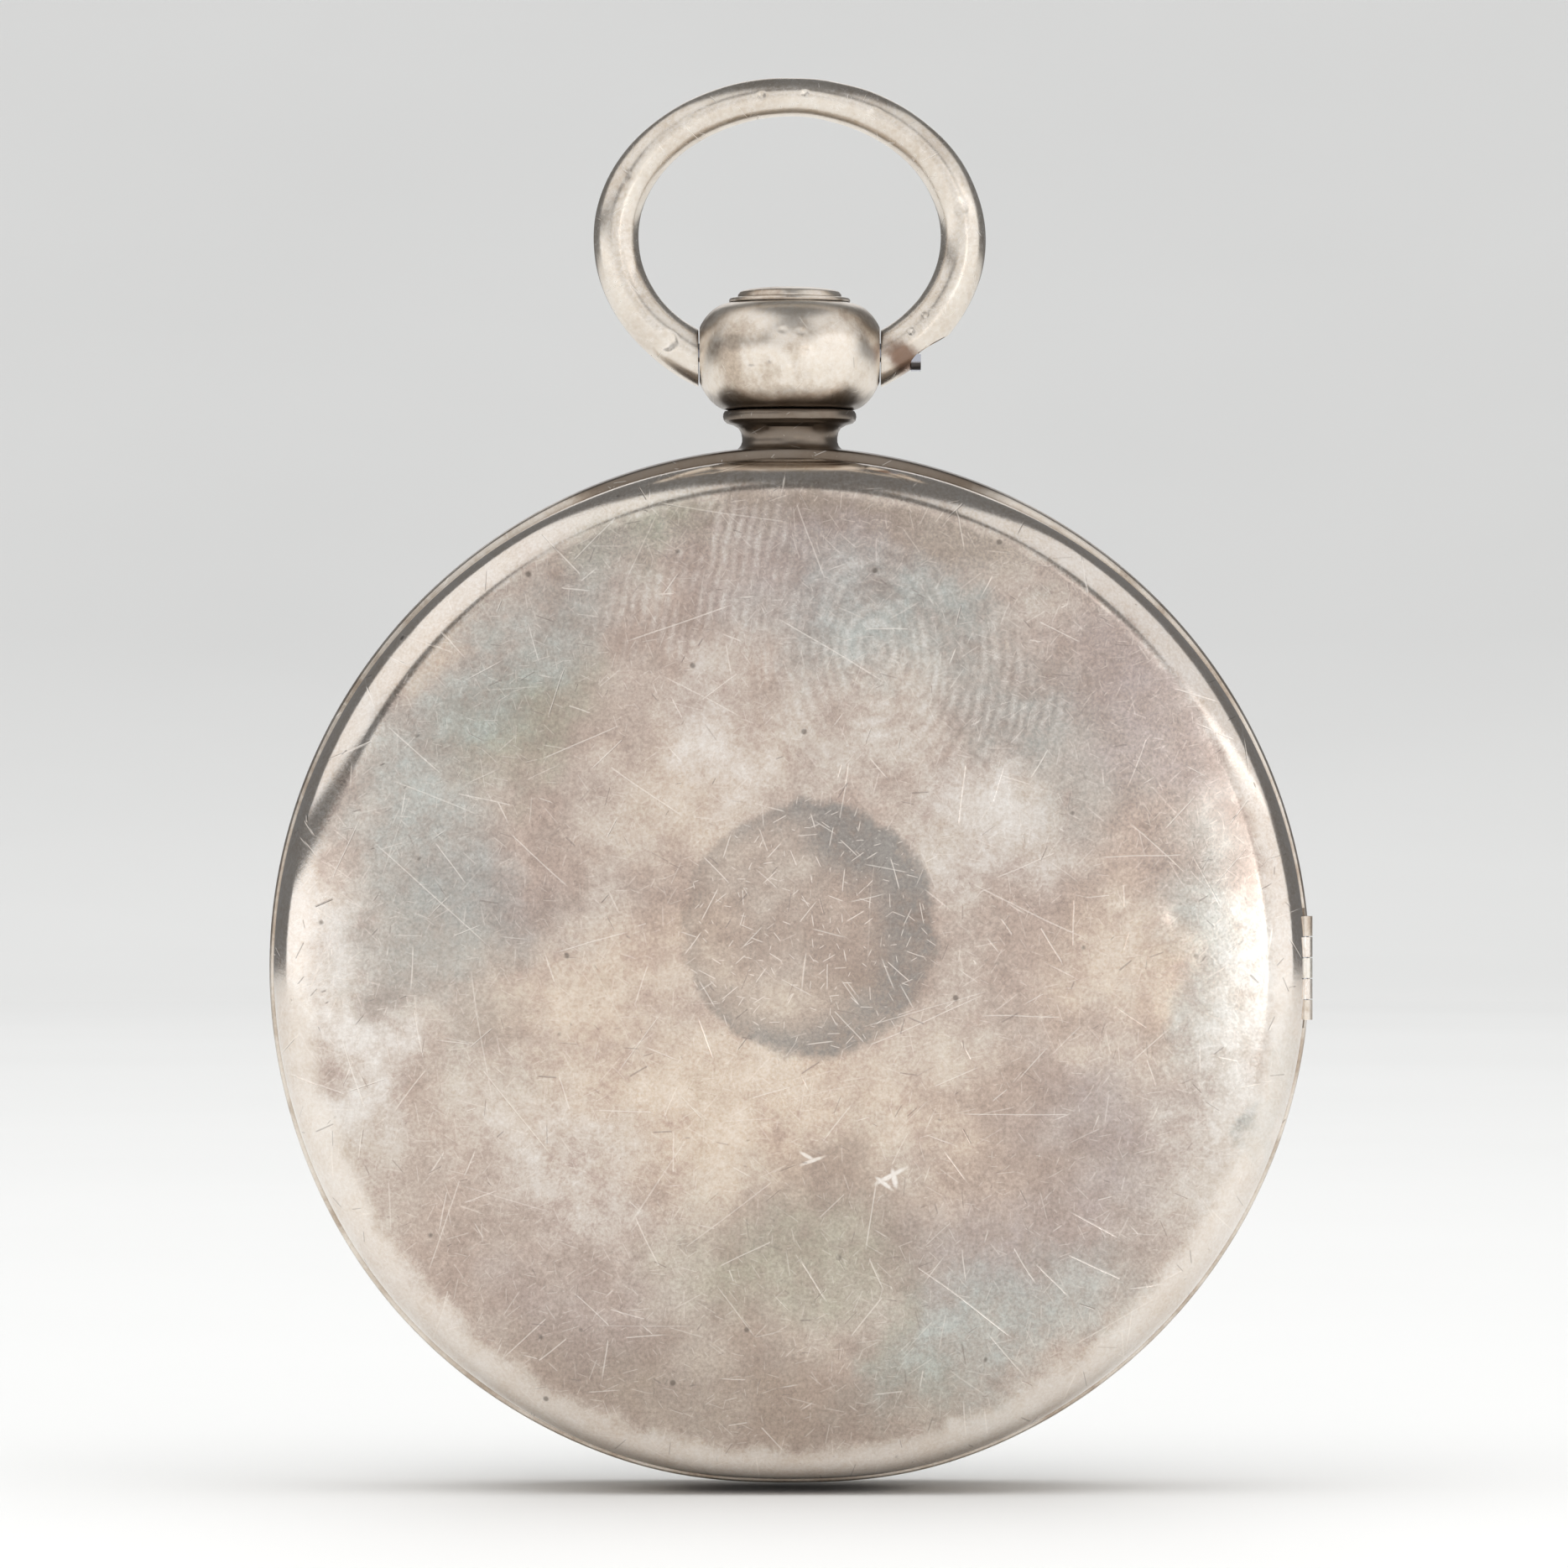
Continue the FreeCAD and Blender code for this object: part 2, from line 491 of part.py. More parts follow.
def bow():
    """Oval ring through rising and falling round sections, its ends faced off beside the pendant."""
    piece = body("bow")
    rings = []
    steps = 14
    for index in range(steps + 1):
        share = 2.0 * index / steps - 1.0
        angle = f"({share} * bow_end_angle)"
        swell = f"(bow_top_radius + (bow_side_radius - bow_top_radius) * sin({abs(share)} * 90))"
        if abs(share) > 0.8:
            swell = f"({swell} + (bow_end_radius - bow_side_radius) * {5 * (abs(share) - 0.8)})"
        rings.append(bow_section(piece, angle, swell, index))
    loft = piece.newObject("PartDesign::AdditiveLoft", "ring")
    loft.Profile, loft.Sections = rings[0], rings[1:]
    up = "case_drop - pivot_drop"
    block(piece, ("-bow_face", f"{up} - 3", "-2"), ("2 * bow_face", "6", "4"), cut=True, name="jaw")
    bore(piece, ("-bow_screw_half", up, "0"), "2 * bow_screw_half", "screw_radius", "x", "screw_bore")
    bore(piece, ("bow_screw_half - head_thick", up, "0"), "3 + head_thick", "bow_screw_head", "x", "sink")


def bow_section(piece, angle, radius, index):
    sketch = piece.newObject("Sketcher::SketchObject", f"ring_section_{index}")
    sketch.AttachmentSupport = (plane_of(piece, "XY_Plane"), [""])
    sketch.MapMode = "FlatFace"
    at_x = f"bow_half_width * sin({angle})"
    at_y = f"case_drop - bow_centre_drop + bow_half_height * cos({angle})"
    slope = math.degrees(math.atan2(-number(f"bow_half_height * sin({angle})"),
                                    number(f"bow_half_width * cos({angle})")))
    tilt = Rotation(Vector(0, 0, 1), slope) * Rotation(Vector(0, 1, 0), 90)
    sketch.AttachmentOffset = Placement(Vector(number(at_x), number(at_y), 0), tilt)
    bind(sketch, "AttachmentOffset.Base.x", at_x)
    bind(sketch, "AttachmentOffset.Base.y", at_y)
    ring = sketch.addGeometry(Part.Circle(Vector(), Vector(0, 0, 1), number(radius)))
    sketch.addConstraint(Sketcher.Constraint("Coincident", ring, 3, -1, 1))
    row = sketch.addConstraint(Sketcher.Constraint("Radius", ring, number(radius)))
    bind(sketch, f"Constraints[{row}]", radius)
    return sketch


def bow_screw():
    piece = body("bow_screw")
    up = "case_drop - pivot_drop"
    rod(piece, ("-bow_screw_half", up, "0"), "2 * bow_screw_half", "screw_radius", "x")
    rod(piece, ("bow_screw_half - head_thick", up, "0"), "head_thick", "bow_screw_head", "x")
    block(piece, ("bow_screw_half - slot_deep", f"{up} - slot_wide / 2", "-1"), ("slot_deep", "slot_wide", "2"),
          cut=True, name="slot")


# ---------------------------------------------------------------- plates, cocks and screws
def cock_foot(name):
    x, y, turn, reach = COCKS[name][:4]
    return away((x, y), reach, turn)


def bridge_feet():
    return [away(BARREL, BRIDGE_REACH, BRIDGE_TURN), away(BARREL, f"-{BRIDGE_REACH}", BRIDGE_TURN)]


def mainplate():
    piece = body("mainplate")
    turned(piece, [("0", "plate_low"), ("plate_recess", "plate_low"), ("plate_recess", "plate_rim_low"),
                   ("plate_radius", "plate_rim_low"), ("plate_radius", "plate_high"),
                   ("0", "plate_high")], name="disc")
    for spot in (THIRD, ESCAPE, LEVER, BALANCE, FOURTH):
        bore(piece, spot + ("plate_high - jewel_thick",), "jewel_thick + 1", "jewel_radius",
             name="jewel_seat")
        bore(piece, spot + ("plate_low - 1",), "2.2", "jewel_bore * 2", name="oil_hole")
    bore(piece, ("0", "0", "plate_low - 1"), "4", "0.56", name="centre_hole")
    bore(piece, BARREL + ("plate_low - 1",), "4", "hub_radius - 0.18", name="barrel_hole")
    bore(piece, MINUTE + ("plate_low - 1",), "4", "post_radius", name="post_hole")
    for spot in [cock_foot(name) for name in COCKS] + bridge_feet():
        bore(piece, spot + ("plate_high - shank_long",), "2", "shank_radius", name="thread")
    for x, y in case_screw_spots():
        bore(piece, (x, y, "plate_high - shank_long"), "2", "shank_radius", name="thread")
    for spot in banking_spots():
        bore(piece, spot + ("plate_high - 0.4",), "2", "banking_radius", name="banking_hole")
    for angle in DIAL_FEET:
        bore(piece, polar("dial_foot_reach", angle) + ("plate_rim_low - 1",), "1 + dial_foot_long",
             "dial_foot", name="foot_hole")


def case_screw_spots():
    return [polar("ledge_radius - 0.45", angle) for angle in (-5, 178)]


def banking_spots():
    """Two pins beside the lever, between its pivot and the balance."""
    angle = lever_turn()
    reach = away(LEVER, "banking_reach", angle)
    return [away(reach, "banking_side", f"({angle} + {side})") for side in (90, -90)]


def stadium(reach, half):
    return [("0", half), (f"-({half})", "0", "0", f"-({half})"), (reach, f"-({half})"),
            (f"{reach} + {half}", "0", reach, half)]


def cock(name):
    x, y, turn, reach, half, low, high = COCKS[name]
    piece = body(name, (x, y), turn)
    plate(piece, stadium(f"{reach}", f"{half}"), low, high, "arm")
    foot_half = f"({half} + 0.25)"
    rod(piece, (f"{reach}", "0", "plate_high"), f"{high} - plate_high", foot_half, name="foot")
    if name == "centre_bridge":
        bore(piece, ("0", "0", low), f"{high} - ({low})", "0.56", name="arbor_hole")
    else:
        bore(piece, ("0", "0", low), "jewel_thick", "jewel_radius", name="jewel_seat")
        bore(piece, ("0", "0", low), "2", "jewel_bore * 2", name="oil_hole")
    screw_holes(piece, f"{reach}", "0", high)


def screw_holes(piece, x, y, high):
    bore(piece, (x, y, "plate_high"), "6", "shank_radius", name="shank_hole")
    bore(piece, (x, y, f"{high} - head_high"), "head_high + 1", "head_radius", name="head_sink")


def barrel_bridge():
    piece = body("barrel_bridge", BARREL, BRIDGE_TURN)
    reach, half = f"{BRIDGE_REACH}", f"{BRIDGE_HALF}"
    plate(piece, [(f"-{reach}", half), (f"-{reach} - {half}", "0", f"-{reach}", f"-{half}"),
                  (reach, f"-{half}"), (f"{reach} + {half}", "0", reach, half)],
          "cock_low", "cock_high", "arm")
    rod(piece, ("0", "0", "cock_low"), "cock_high - cock_low", "4.2", name="barrel_boss")
    for sign in ("", "-"):
        rod(piece, (f"{sign}{reach}", "0", "plate_high"), "cock_high - plate_high", half, name="foot")
        screw_holes(piece, f"{sign}{reach}", "0", "cock_high")
    bore(piece, ("0", "0", "cock_low"), "2", "hub_radius + 0.04", name="arbor_hole")
    x, y = CLICK
    click_at = [f"(({x}) - ({BARREL[0]})) * cos(5) - (({y}) - ({BARREL[1]})) * sin(5)",
                f"(({x}) - ({BARREL[0]})) * sin(5) + (({y}) - ({BARREL[1]})) * cos(5)"]
    bore(piece, (click_at[0], click_at[1], "cock_low"), "2", "0.3", name="click_thread")


def group(label, members, turn_spot=CENTRE):
    """Several separate solids of one kind, kept as one node."""
    holder = DOC.addObject("Part::Compound", label)
    holder.Label = label
    holder.Links = members
    stand(holder, turn_spot)
    NODES.append(holder)


def cylinder(at, length, radius, name, turn=None):
    shape = DOC.addObject("Part::Cylinder", name)
    shape.Radius, shape.Height = number(radius), number(length)
    bind(shape, "Radius", radius)
    bind(shape, "Height", length)
    locate(shape, at)
    if turn is not None:
        shape.Placement.Rotation = Rotation(Vector(0, 0, 1), turn) * TURN_AXES["x"]
    return shape


def boolean(kind, base, tool, name):
    result = DOC.addObject(kind, name)
    result.Base, result.Tool = base, tool
    return result


def jewel(x, y, low):
    ring = cylinder((x, y, low), "jewel_thick", "jewel_radius", "jewel_disc")
    hole = cylinder((x, y, f"{low} - 1"), "jewel_thick + 2", "jewel_bore", "jewel_hole")
    return boolean("Part::Cut", ring, hole, "jewel")


def jewels():
    stones = []
    for spot in (THIRD, FOURTH, ESCAPE, LEVER, BALANCE):
        stones.append(jewel(*spot, "plate_high - jewel_thick"))
    for name in COCKS:
        if name != "centre_bridge":
            stones.append(jewel(COCKS[name][0], COCKS[name][1], COCKS[name][5]))
    group("jewels", stones)


def screw(x, y, high, length, turn):
    """Slotted cheese-head screw whose head ends level with its plate."""
    head = cylinder((x, y, f"{high} - head_high"), "head_high", "head_radius", "screw_head")
    shank = cylinder((x, y, f"{high} - head_high - ({length})"), length, "shank_radius", "screw_shank")
    solid = boolean("Part::Fuse", head, shank, "screw_blank")
    slot = DOC.addObject("Part::Box", "screw_slot")
    for prop, value in (("Length", "2.4 * head_radius"), ("Width", "slot_wide"), ("Height", "1")):
        setattr(slot, prop, number(value))
        bind(slot, prop, value)
    corner = Rotation(Vector(0, 0, 1), turn).multVec(Vector(-number("1.2 * head_radius"),
                                                            -number("slot_wide / 2"), 0))
    locate(slot, (f"{x} + {corner.x}", f"{y} + {corner.y}", f"{high} - slot_deep"), "z", turn)
    return boolean("Part::Cut", solid, slot, "screw")


def bridge_screws():
    screws = []
    for index, name in enumerate(COCKS):
        x, y = cock_foot(name)
        high = COCKS[name][6]
        screws.append(screw(x, y, high, f"{high} - head_high - plate_high + shank_long - 0.05",
                            37 * index))
    for index, (x, y) in enumerate(bridge_feet()):
        screws.append(screw(x, y, "cock_high", "cock_high - head_high - plate_high + shank_long - 0.05",
                            20 + 50 * index))
    group("bridge_screws", screws)


def case_screws():
    screws = [screw(x, y, "ledge_high + head_high", "ledge_high - plate_high + shank_long - 0.05", 30)
              for x, y in case_screw_spots()]
    group("case_screws", screws)


def dial():
    piece = body("dial")
    turned(piece, [("dial_hole", "dial_low"), ("dial_radius - 0.25", "dial_low"),
                   ("dial_radius", "dial_low + 0.25"), ("dial_radius", "dial_high"),
                   ("dial_hole", "dial_high")], name="enamel")
    bore(piece, FOURTH + ("dial_low - 1",), "3", "sunk_radius", name="sink")


def seconds_dial():
    piece = body("seconds_dial", FOURTH)
    turned(piece, [("0.3", "sunk_low"), ("sunk_radius", "sunk_low"), ("sunk_radius", "sunk_high"),
                   ("0.3", "sunk_high")], name="enamel")


def dial_feet():
    group("dial_feet", [cylinder(polar("dial_foot_reach", angle) + ("dial_high",),
                                 "dial_foot_long - 0.1", "dial_foot", "dial_foot_pin")
                        for angle in DIAL_FEET])


def banking_pins():
    group("banking_pins", [cylinder(spot + ("plate_high - 0.4",), "lever_high - plate_high + 0.5",
                                    "banking_radius", "banking_pin") for spot in banking_spots()])


# ---------------------------------------------------------------- going train
def barrel_drum():
    piece = body("barrel_drum", BARREL)
    toothed(piece, "barrel_teeth", "barrel_module", "drum_low", "flange_high")
    rod(piece, ("0", "0", "drum_low"), "drum_high - drum_low", "drum_radius", name="drum")
    bore(piece, ("0", "0", "drum_low + drum_floor"), "3", "drum_radius - drum_wall", name="well")
    bore(piece, ("0", "0", "drum_low - 1"), "3", "hub_bore", name="arbor_hole")


def barrel_cover():
    piece = body("barrel_cover", BARREL)
    turned(piece, [("hub_bore", "drum_high - 0.2"), ("drum_radius - drum_wall", "drum_high - 0.2"),
                   ("drum_radius - drum_wall", "drum_high"), ("lid_radius", "drum_high"),
                   ("lid_radius", "drum_cover_high"), ("hub_bore", "drum_cover_high")], name="lid")


def coil(label, spot, turn, inner, outer, turns, thick, low, high, samples):
    """Flat spiral strip of even pitch, made of two offset spirals and extruded."""
    r_in, r_out, count, half = number(inner), number(outer), number(turns), number(thick) / 2
    growth = (r_out - r_in) / (count * 2 * math.pi)

    def side(offset):
        points = []
        for index in range(samples + 1):
            angle = count * 2 * math.pi * index / samples
            radius = r_in + growth * angle + offset
            points.append(Vector(radius * math.cos(angle), radius * math.sin(angle), number(low)))
        curve = Part.BSplineCurve()
        curve.interpolate(points)
        return curve.toShape()

    first, second = side(half), side(-half)
    ends = [Part.makeLine(first.Vertexes[0].Point, second.Vertexes[0].Point),
            Part.makeLine(first.Vertexes[-1].Point, second.Vertexes[-1].Point)]
    strip = Part.Face(Part.Wire(Part.__sortEdges__([first, ends[1], second, ends[0]])))
    piece = DOC.addObject("Part::Feature", label)
    piece.Label = label
    piece.Shape = strip.extrude(Vector(0, 0, number(high) - number(low)))
    stand(piece, spot, turn)
    NODES.append(piece)


def barrel_arbor():
    piece = body("barrel_arbor", BARREL)
    rod(piece, ("0", "0", "plate_high"), "cock_high + 0.6 - plate_high", "hub_radius", name="hub")
    rod(piece, ("0", "0", "plate_low"), "3", "hub_radius - 0.22", name="lower_pivot")
    block(piece, ("-square_half", "-square_half", "cock_high"),
          ("2 * square_half", "2 * square_half", "square_top - cock_high"), name="winding_square")


def ratchet_wheel():
    piece = body("ratchet_wheel", BARREL)
    rod(piece, ("0", "0", "cock_high + 0.03"), "ratchet_high - cock_high - 0.03", "ratchet_radius")
    pitch = "360 / ratchet_teeth"
    punched(piece, [polar("ratchet_root", "0"), polar("ratchet_radius + 0.3", "0"),
                    polar("ratchet_radius + 0.3", f"{pitch} * 0.93"),
                    polar("ratchet_radius", f"{pitch} * 0.93")], "ratchet_teeth", "ratchet_gap")
    bore(piece, ("0", "0", "cock_high"), "2", "hub_radius", name="hub_hole")


def click():
    """Pawl that lies beside the ratchet wheel, its nose just clear of the tips."""
    piece = body("click", CLICK, CLICK_TURN)
    rod(piece, ("0", "0", "cock_high + 0.05"), "0.35", "0.62", name="eye")
    plate(piece, [("0", "0.45"), ("0", "-0.45"), ("click_long", "0.05"), ("click_long", "0.3")],
          "cock_high + 0.05", "cock_high + 0.35", "nose")
    bore(piece, ("0", "0", "cock_high"), "1", "0.34", name="pivot_hole")


def click_screw():
    piece = body("click_screw", CLICK, 20)
    rod(piece, ("0", "0", "cock_low + 0.1"), "cock_high - cock_low + 0.35", "0.3", name="shank")
    rod(piece, ("0", "0", "cock_high + 0.43"), "0.3", "0.6", name="head")
    block(piece, ("-1", "-slot_wide / 2", "cock_high + 0.58"), ("2", "slot_wide", "1"), cut=True,
          name="slot")


def click_spring():
    piece = body("click_spring", CLICK, CLICK_TURN)
    plate(piece, [("-1.75", "-0.45"), ("-1.75", "-1.1"), ("2.4", "-1.25"), ("2.4", "-1.13"),
                  ("-1.05", "-0.98"), ("-1.05", "-0.45")],
          "cock_high", "cock_high + 0.3", "blade")


def wheel(label, spot, turn, teeth, module, low, high, hub, spokes):
    piece = body(label, spot, turn)
    toothed(piece, teeth, module, low, high)
    windows(piece, "1.2", f"{module} * {teeth} / 2 * 0.8 - 0.1", spokes)
    bore(piece, ("0", "0", f"{low} - 1"), "3", hub, name="seat")
    return piece


def pinion(label, spot, turn, leaves, module, low, high, arbor_low, arbor_high, pivots=True,
           radius="arbor_radius"):
    piece = body(label, spot, turn)
    toothed(piece, leaves, module, low, high)
    arbor(piece, arbor_low, arbor_high, radius, pivots)
    return piece


def going_train():
    centre_turn = meshed(0, "barrel_teeth", "centre_leaves", "barrel_angle + 180")
    piece = pinion("centre_pinion", CENTRE, centre_turn, "centre_leaves", "barrel_module", "drum_low",
                   "0.05", "plate_high", "cock_low", False, "0.7")
    rod(piece, ("0", "0", "plate_low + 0.05"), "cock_high - plate_low - 0.1", "0.52", name="tube")
    bore(piece, ("0", "0", "plate_low - 1"), "8", "tube_bore", name="tube_bore")
    wheel("centre_wheel", CENTRE, 0, "centre_teeth", "centre_module", "1.4", "1.65", "0.7", 5)

    turn = meshed(0, "centre_teeth", "third_leaves", "third_angle")
    pinion("third_pinion", THIRD, turn, "third_leaves", "centre_module", "1.2", "1.78",
           "plate_high", "cock_low")
    wheel("third_wheel", THIRD, 0, "third_teeth", "third_module", "-0.25", "-0.05", "arbor_radius", 5)

    turn = meshed(0, "third_teeth", "fourth_leaves", "fourth_angle")
    piece = pinion("fourth_pinion", FOURTH, turn, "fourth_leaves", "third_module", "-0.4", "0.1",
                   "plate_high", "cock_low")
    rod(piece, ("0", "0", "seconds_hand_low"), "plate_high - seconds_hand_low", "0.13",
        name="seconds_pivot")
    wheel("fourth_wheel", FOURTH, 0, "fourth_teeth", "fourth_module", "0.75", "0.95",
          "arbor_radius", 4)

    turn = meshed(0, "fourth_teeth", "escape_leaves", "escape_angle")
    pinion("escape_pinion", ESCAPE, turn, "escape_leaves", "fourth_module", "0.55", "1.15",
           "plate_high", "1.3", radius="0.3")


def escape_wheel():
    piece = body("escape_wheel", ESCAPE)
    rod(piece, ("0", "0", "0.2"), "0.2", "escape_radius")
    pitch = "360 / escape_teeth"
    punched(piece, [polar("escape_root", f"{pitch} * 0.25"), polar("escape_radius + 0.3", f"{pitch} * 0.1"),
                    polar("escape_radius + 0.3", f"{pitch} * 0.88"),
                    polar("escape_root", f"{pitch} * 0.8")], "escape_teeth", "tooth_gap")
    windows(piece, "0.7", "escape_root - 0.3", 4)
    bore(piece, ("0", "0", "-1"), "3", "0.3", name="seat")


def lever_turn():
    return number("atan2(balance_y - lever_y; balance_x - lever_x)")


def pallet_lever():
    """Fork towards the balance, and two curved pallet arms that straddle the escape wheel."""
    piece = body("pallet_lever", LEVER)
    toward = f"{lever_turn()}"
    ex, ey = f"({ESCAPE[0]} - lever_x)", f"({ESCAPE[1]} - lever_y)"
    back = number(f"atan2(-{ey}; -{ex})")
    arc = []
    for radius, angles in (("pallet_outer", (-1, 0, 1)), ("pallet_inner", (1, 0, -1))):
        first, middle, last = [away((ex, ey), radius, f"({back} + {sign} * pallet_span)")
                               for sign in angles]
        arc += [first, middle + last]
    plate(piece, arc, "lever_low", "lever_high", "pallet_arms")
    rod(piece, ("0", "0", "lever_low"), "lever_high - lever_low", "0.42", name="hub")
    side = [away(("0", "0"), "0.22", f"({toward} + 90)"), away(("0", "0"), "0.22", f"({toward} - 90)")]
    tip = away(("0", "0"), "fork_reach - 0.55", toward)
    plate(piece, [side[0], side[1], away(tip, "0.18", f"({toward} - 90)"),
                  away(tip, "0.18", f"({toward} + 90)")], "lever_low", "lever_high", "fork_arm")
    for sign in ("+", "-"):
        edge = f"({toward} {sign} 90)"
        far = away(away(("0", "0"), "fork_reach - 0.1", toward), "0.15", edge)
        plate(piece, [away(tip, "0.02", edge), away(tip, "0.42", edge), away(far, "0.27", edge), far],
              "lever_low", "lever_high", "fork_horn")
    rod(piece, ("0", "0", "plate_high - jewel_lap"), "0.8 - plate_high + 2 * jewel_lap",
        "pivot_radius", name="pivots")
    rod(piece, ("0", "0", "plate_high + end_shake"), "0.8 - plate_high - 2 * end_shake", "0.25",
        name="staff")


def pallet_stones():
    """Two jewel blocks on the ends of the pallet arms."""
    ex, ey = f"({ESCAPE[0]} - lever_x)", f"({ESCAPE[1]} - lever_y)"
    back = number(f"atan2(-{ey}; -{ex})")
    stones = []
    for sign in (-1, 1):
        angle = back + sign * number("pallet_span")
        offset = "0" if sign > 0 else "-stone_wide"
        stone = DOC.addObject("Part::Box", "stone")
        for prop, value in (("Length", "0.55"), ("Width", "stone_wide"), ("Height", "0.22")):
            setattr(stone, prop, number(value))
            bind(stone, prop, value)
        start = away(away((ex, ey), "pallet_inner - 0.05", angle), offset, angle + 90)
        locate(stone, start + ("lever_low + 0.04",), "z", angle)
        stones.append(stone)
    group("pallet_stones", stones, LEVER)


def balance():
    piece = body("balance_wheel", BALANCE, 20)
    turned(piece, [("rim_inner", "rim_low"), ("rim_radius", "rim_low"), ("rim_radius", "rim_high"),
                   ("rim_inner", "rim_high")], name="rim")
    block(piece, ("-rim_inner - 0.1", "-arm_width / 2", "arm_low"),
          ("2 * rim_inner + 0.2", "arm_width", "arm_high - arm_low"), name="arm")
    rod(piece, ("0", "0", "arm_low"), "arm_high - arm_low", "hub_size", name="hub")
    bore(piece, ("0", "0", "rim_low - 1"), "3", "staff_radius", name="staff_hole")
    for angle in (12, 192):
        block(piece, polar("rim_inner - 0.4", angle) + ("rim_low - 0.5",), ("1.6", "0.12", "2"),
              cut=True, turn=angle, name="rim_slit")
    staff = body("balance_staff", BALANCE)
    arbor(staff, "plate_high", "balance_cock_low", "0.3")
    rod(staff, ("0", "0", "roller_high + 0.05"), "hair_low - 0.12 - roller_high", "staff_radius",
        name="seat")
    rod(staff, ("0", "0", "hair_low - 0.1"), "hair_high + 0.12 - hair_low", "hair_inner - 0.05",
        name="collet")


def roller():
    piece = body("roller", BALANCE)
    toward = lever_turn() + 180
    rod(piece, ("0", "0", "roller_low"), "roller_high - roller_low", "roller_radius")
    rod(piece, polar("impulse_reach", toward) + ("0.2",), "roller_low - 0.1", "impulse_radius",
        name="impulse_pin")
    bore(piece, ("0", "0", "roller_low - 1"), "3", "0.3", name="seat")


def balance_screws():
    screws = []
    for index in range(int(number("timing_count"))):
        angle = 20 + (index + 0.5) * 360 / number("timing_count")
        screws.append(cylinder(polar("rim_radius", angle) + ("(rim_low + rim_high) / 2",),
                               "timing_long", "timing_head * 0.8", "timing_screw", angle))
    group("balance_screws", screws, BALANCE)


def regulator():
    """Index: a ring around the upper jewel, a long pointer, and a tail with the curb pins."""
    piece = body("regulator", BALANCE, 125 + 8)
    rod(piece, ("0", "0", "regulator_low"), "regulator_high - regulator_low", "1.7", name="ring")
    plate(piece, [("1.2", "0.35"), ("1.2", "-0.35"), ("5.6", "-0.06"), ("5.6", "0.06")],
          "regulator_low", "regulator_high", "pointer")
    plate(piece, [("-3.35", "0.3"), ("-3.35", "-0.3"), ("-1.2", "-0.45"), ("-1.2", "0.45")],
          "regulator_low", "regulator_high", "tail")
    for reach in ("2.85", "3.1"):
        rod(piece, (f"-{reach}", "0", "hair_low"), "regulator_low - hair_low + 0.05", "0.06",
            name="curb_pin")
    bore(piece, ("0", "0", "regulator_low - 1"), "3", "1.1", name="ring_bore")


def cap_jewel():
    piece = body("balance_endpiece", BALANCE)
    turned(piece, [("0", "balance_cock_high"), ("1.05", "balance_cock_high"),
                   ("1.05", "regulator_high - 0.05"), ("0.8", "regulator_high + 0.03"),
                   ("0", "regulator_high + 0.03")], name="endpiece")


def hairspring_stud():
    piece = body("hairspring_stud", BALANCE, STUD_TURN)
    block(piece, ("hair_outer + 0.1", "-0.25", "hair_low - 0.05"), ("0.45", "0.5", "0.25"), name="stud")


# ---------------------------------------------------------------- motion work and hands
def motion_work():
    piece = body("set_arbor")
    rod(piece, ("0", "0", "minute_hand_low"), "cock_high + 0.3 - minute_hand_low", "set_radius",
        name="rod")
    rod(piece, ("0", "0", "cock_high + 0.05"), "0.4", "square_half * 1.25", name="collar")
    block(piece, ("-square_half * 0.85", "-square_half * 0.85", "cock_high + 0.3"),
          ("square_half * 1.7", "square_half * 1.7", "square_top - cock_high - 0.3"),
          name="setting_square")
    piece = body("cannon_pinion", CENTRE, 0)
    toothed(piece, "cannon_leaves", "motion_module", "cannon_low", "cannon_high")
    rod(piece, ("0", "0", "minute_hand_high"), "cannon_high - minute_hand_high", "cannon_radius",
        name="pipe")
    bore(piece, ("0", "0", "-6"), "6", "set_radius", name="pipe_bore")

    turn = meshed(0, "cannon_leaves", "minute_teeth", "minute_angle")
    piece = body("minute_wheel", MINUTE, turn)
    toothed(piece, "minute_leaves", "hour_module", "hour_low - 0.04", "minute_low")
    toothed(piece, "minute_teeth", "motion_module", "minute_low", "minute_high")
    bore(piece, ("0", "0", "-4"), "3", "post_radius + 0.03", name="post_hole")
    post = body("minute_post", MINUTE)
    rod(post, ("0", "0", "hour_low"), "plate_high - hour_low", "post_radius")

    turn = meshed(turn, "minute_leaves", "hour_teeth", "minute_angle + 180")
    piece = body("hour_wheel", CENTRE, turn)
    toothed(piece, "hour_teeth", "hour_module", "hour_low", "hour_high")
    rod(piece, ("0", "0", "hour_hand_low"), "hour_high - hour_hand_low", "pipe_radius", name="pipe")
    bore(piece, ("0", "0", "-6"), "5", "pipe_bore", name="pipe_bore")


def hand(label, spot, angle, long, low, high, hub, hole, eye):
    """Slim tapering hand with a pierced eye near its tip."""
    piece = body(label, spot, angle)
    rod(piece, ("0", "0", low), f"{high} - ({low})", hub, name="boss")
    plate(piece, [("0", f"{hub} * 0.45"), ("0", f"-{hub} * 0.45"), (long, "-0.05"), (long, "0.05")],
          low, high, "blade")
    if eye:
        centre = f"{long} * 0.68"
        rod(piece, (centre, "0", low), f"{high} - ({low})", eye, name="eye")
        bore(piece, (centre, "0", f"{low} - 1"), "3", f"{eye} * 0.62", name="eye_hole")
    bore(piece, ("0", "0", f"{low} - 1"), "3", hole, name="hub_hole")


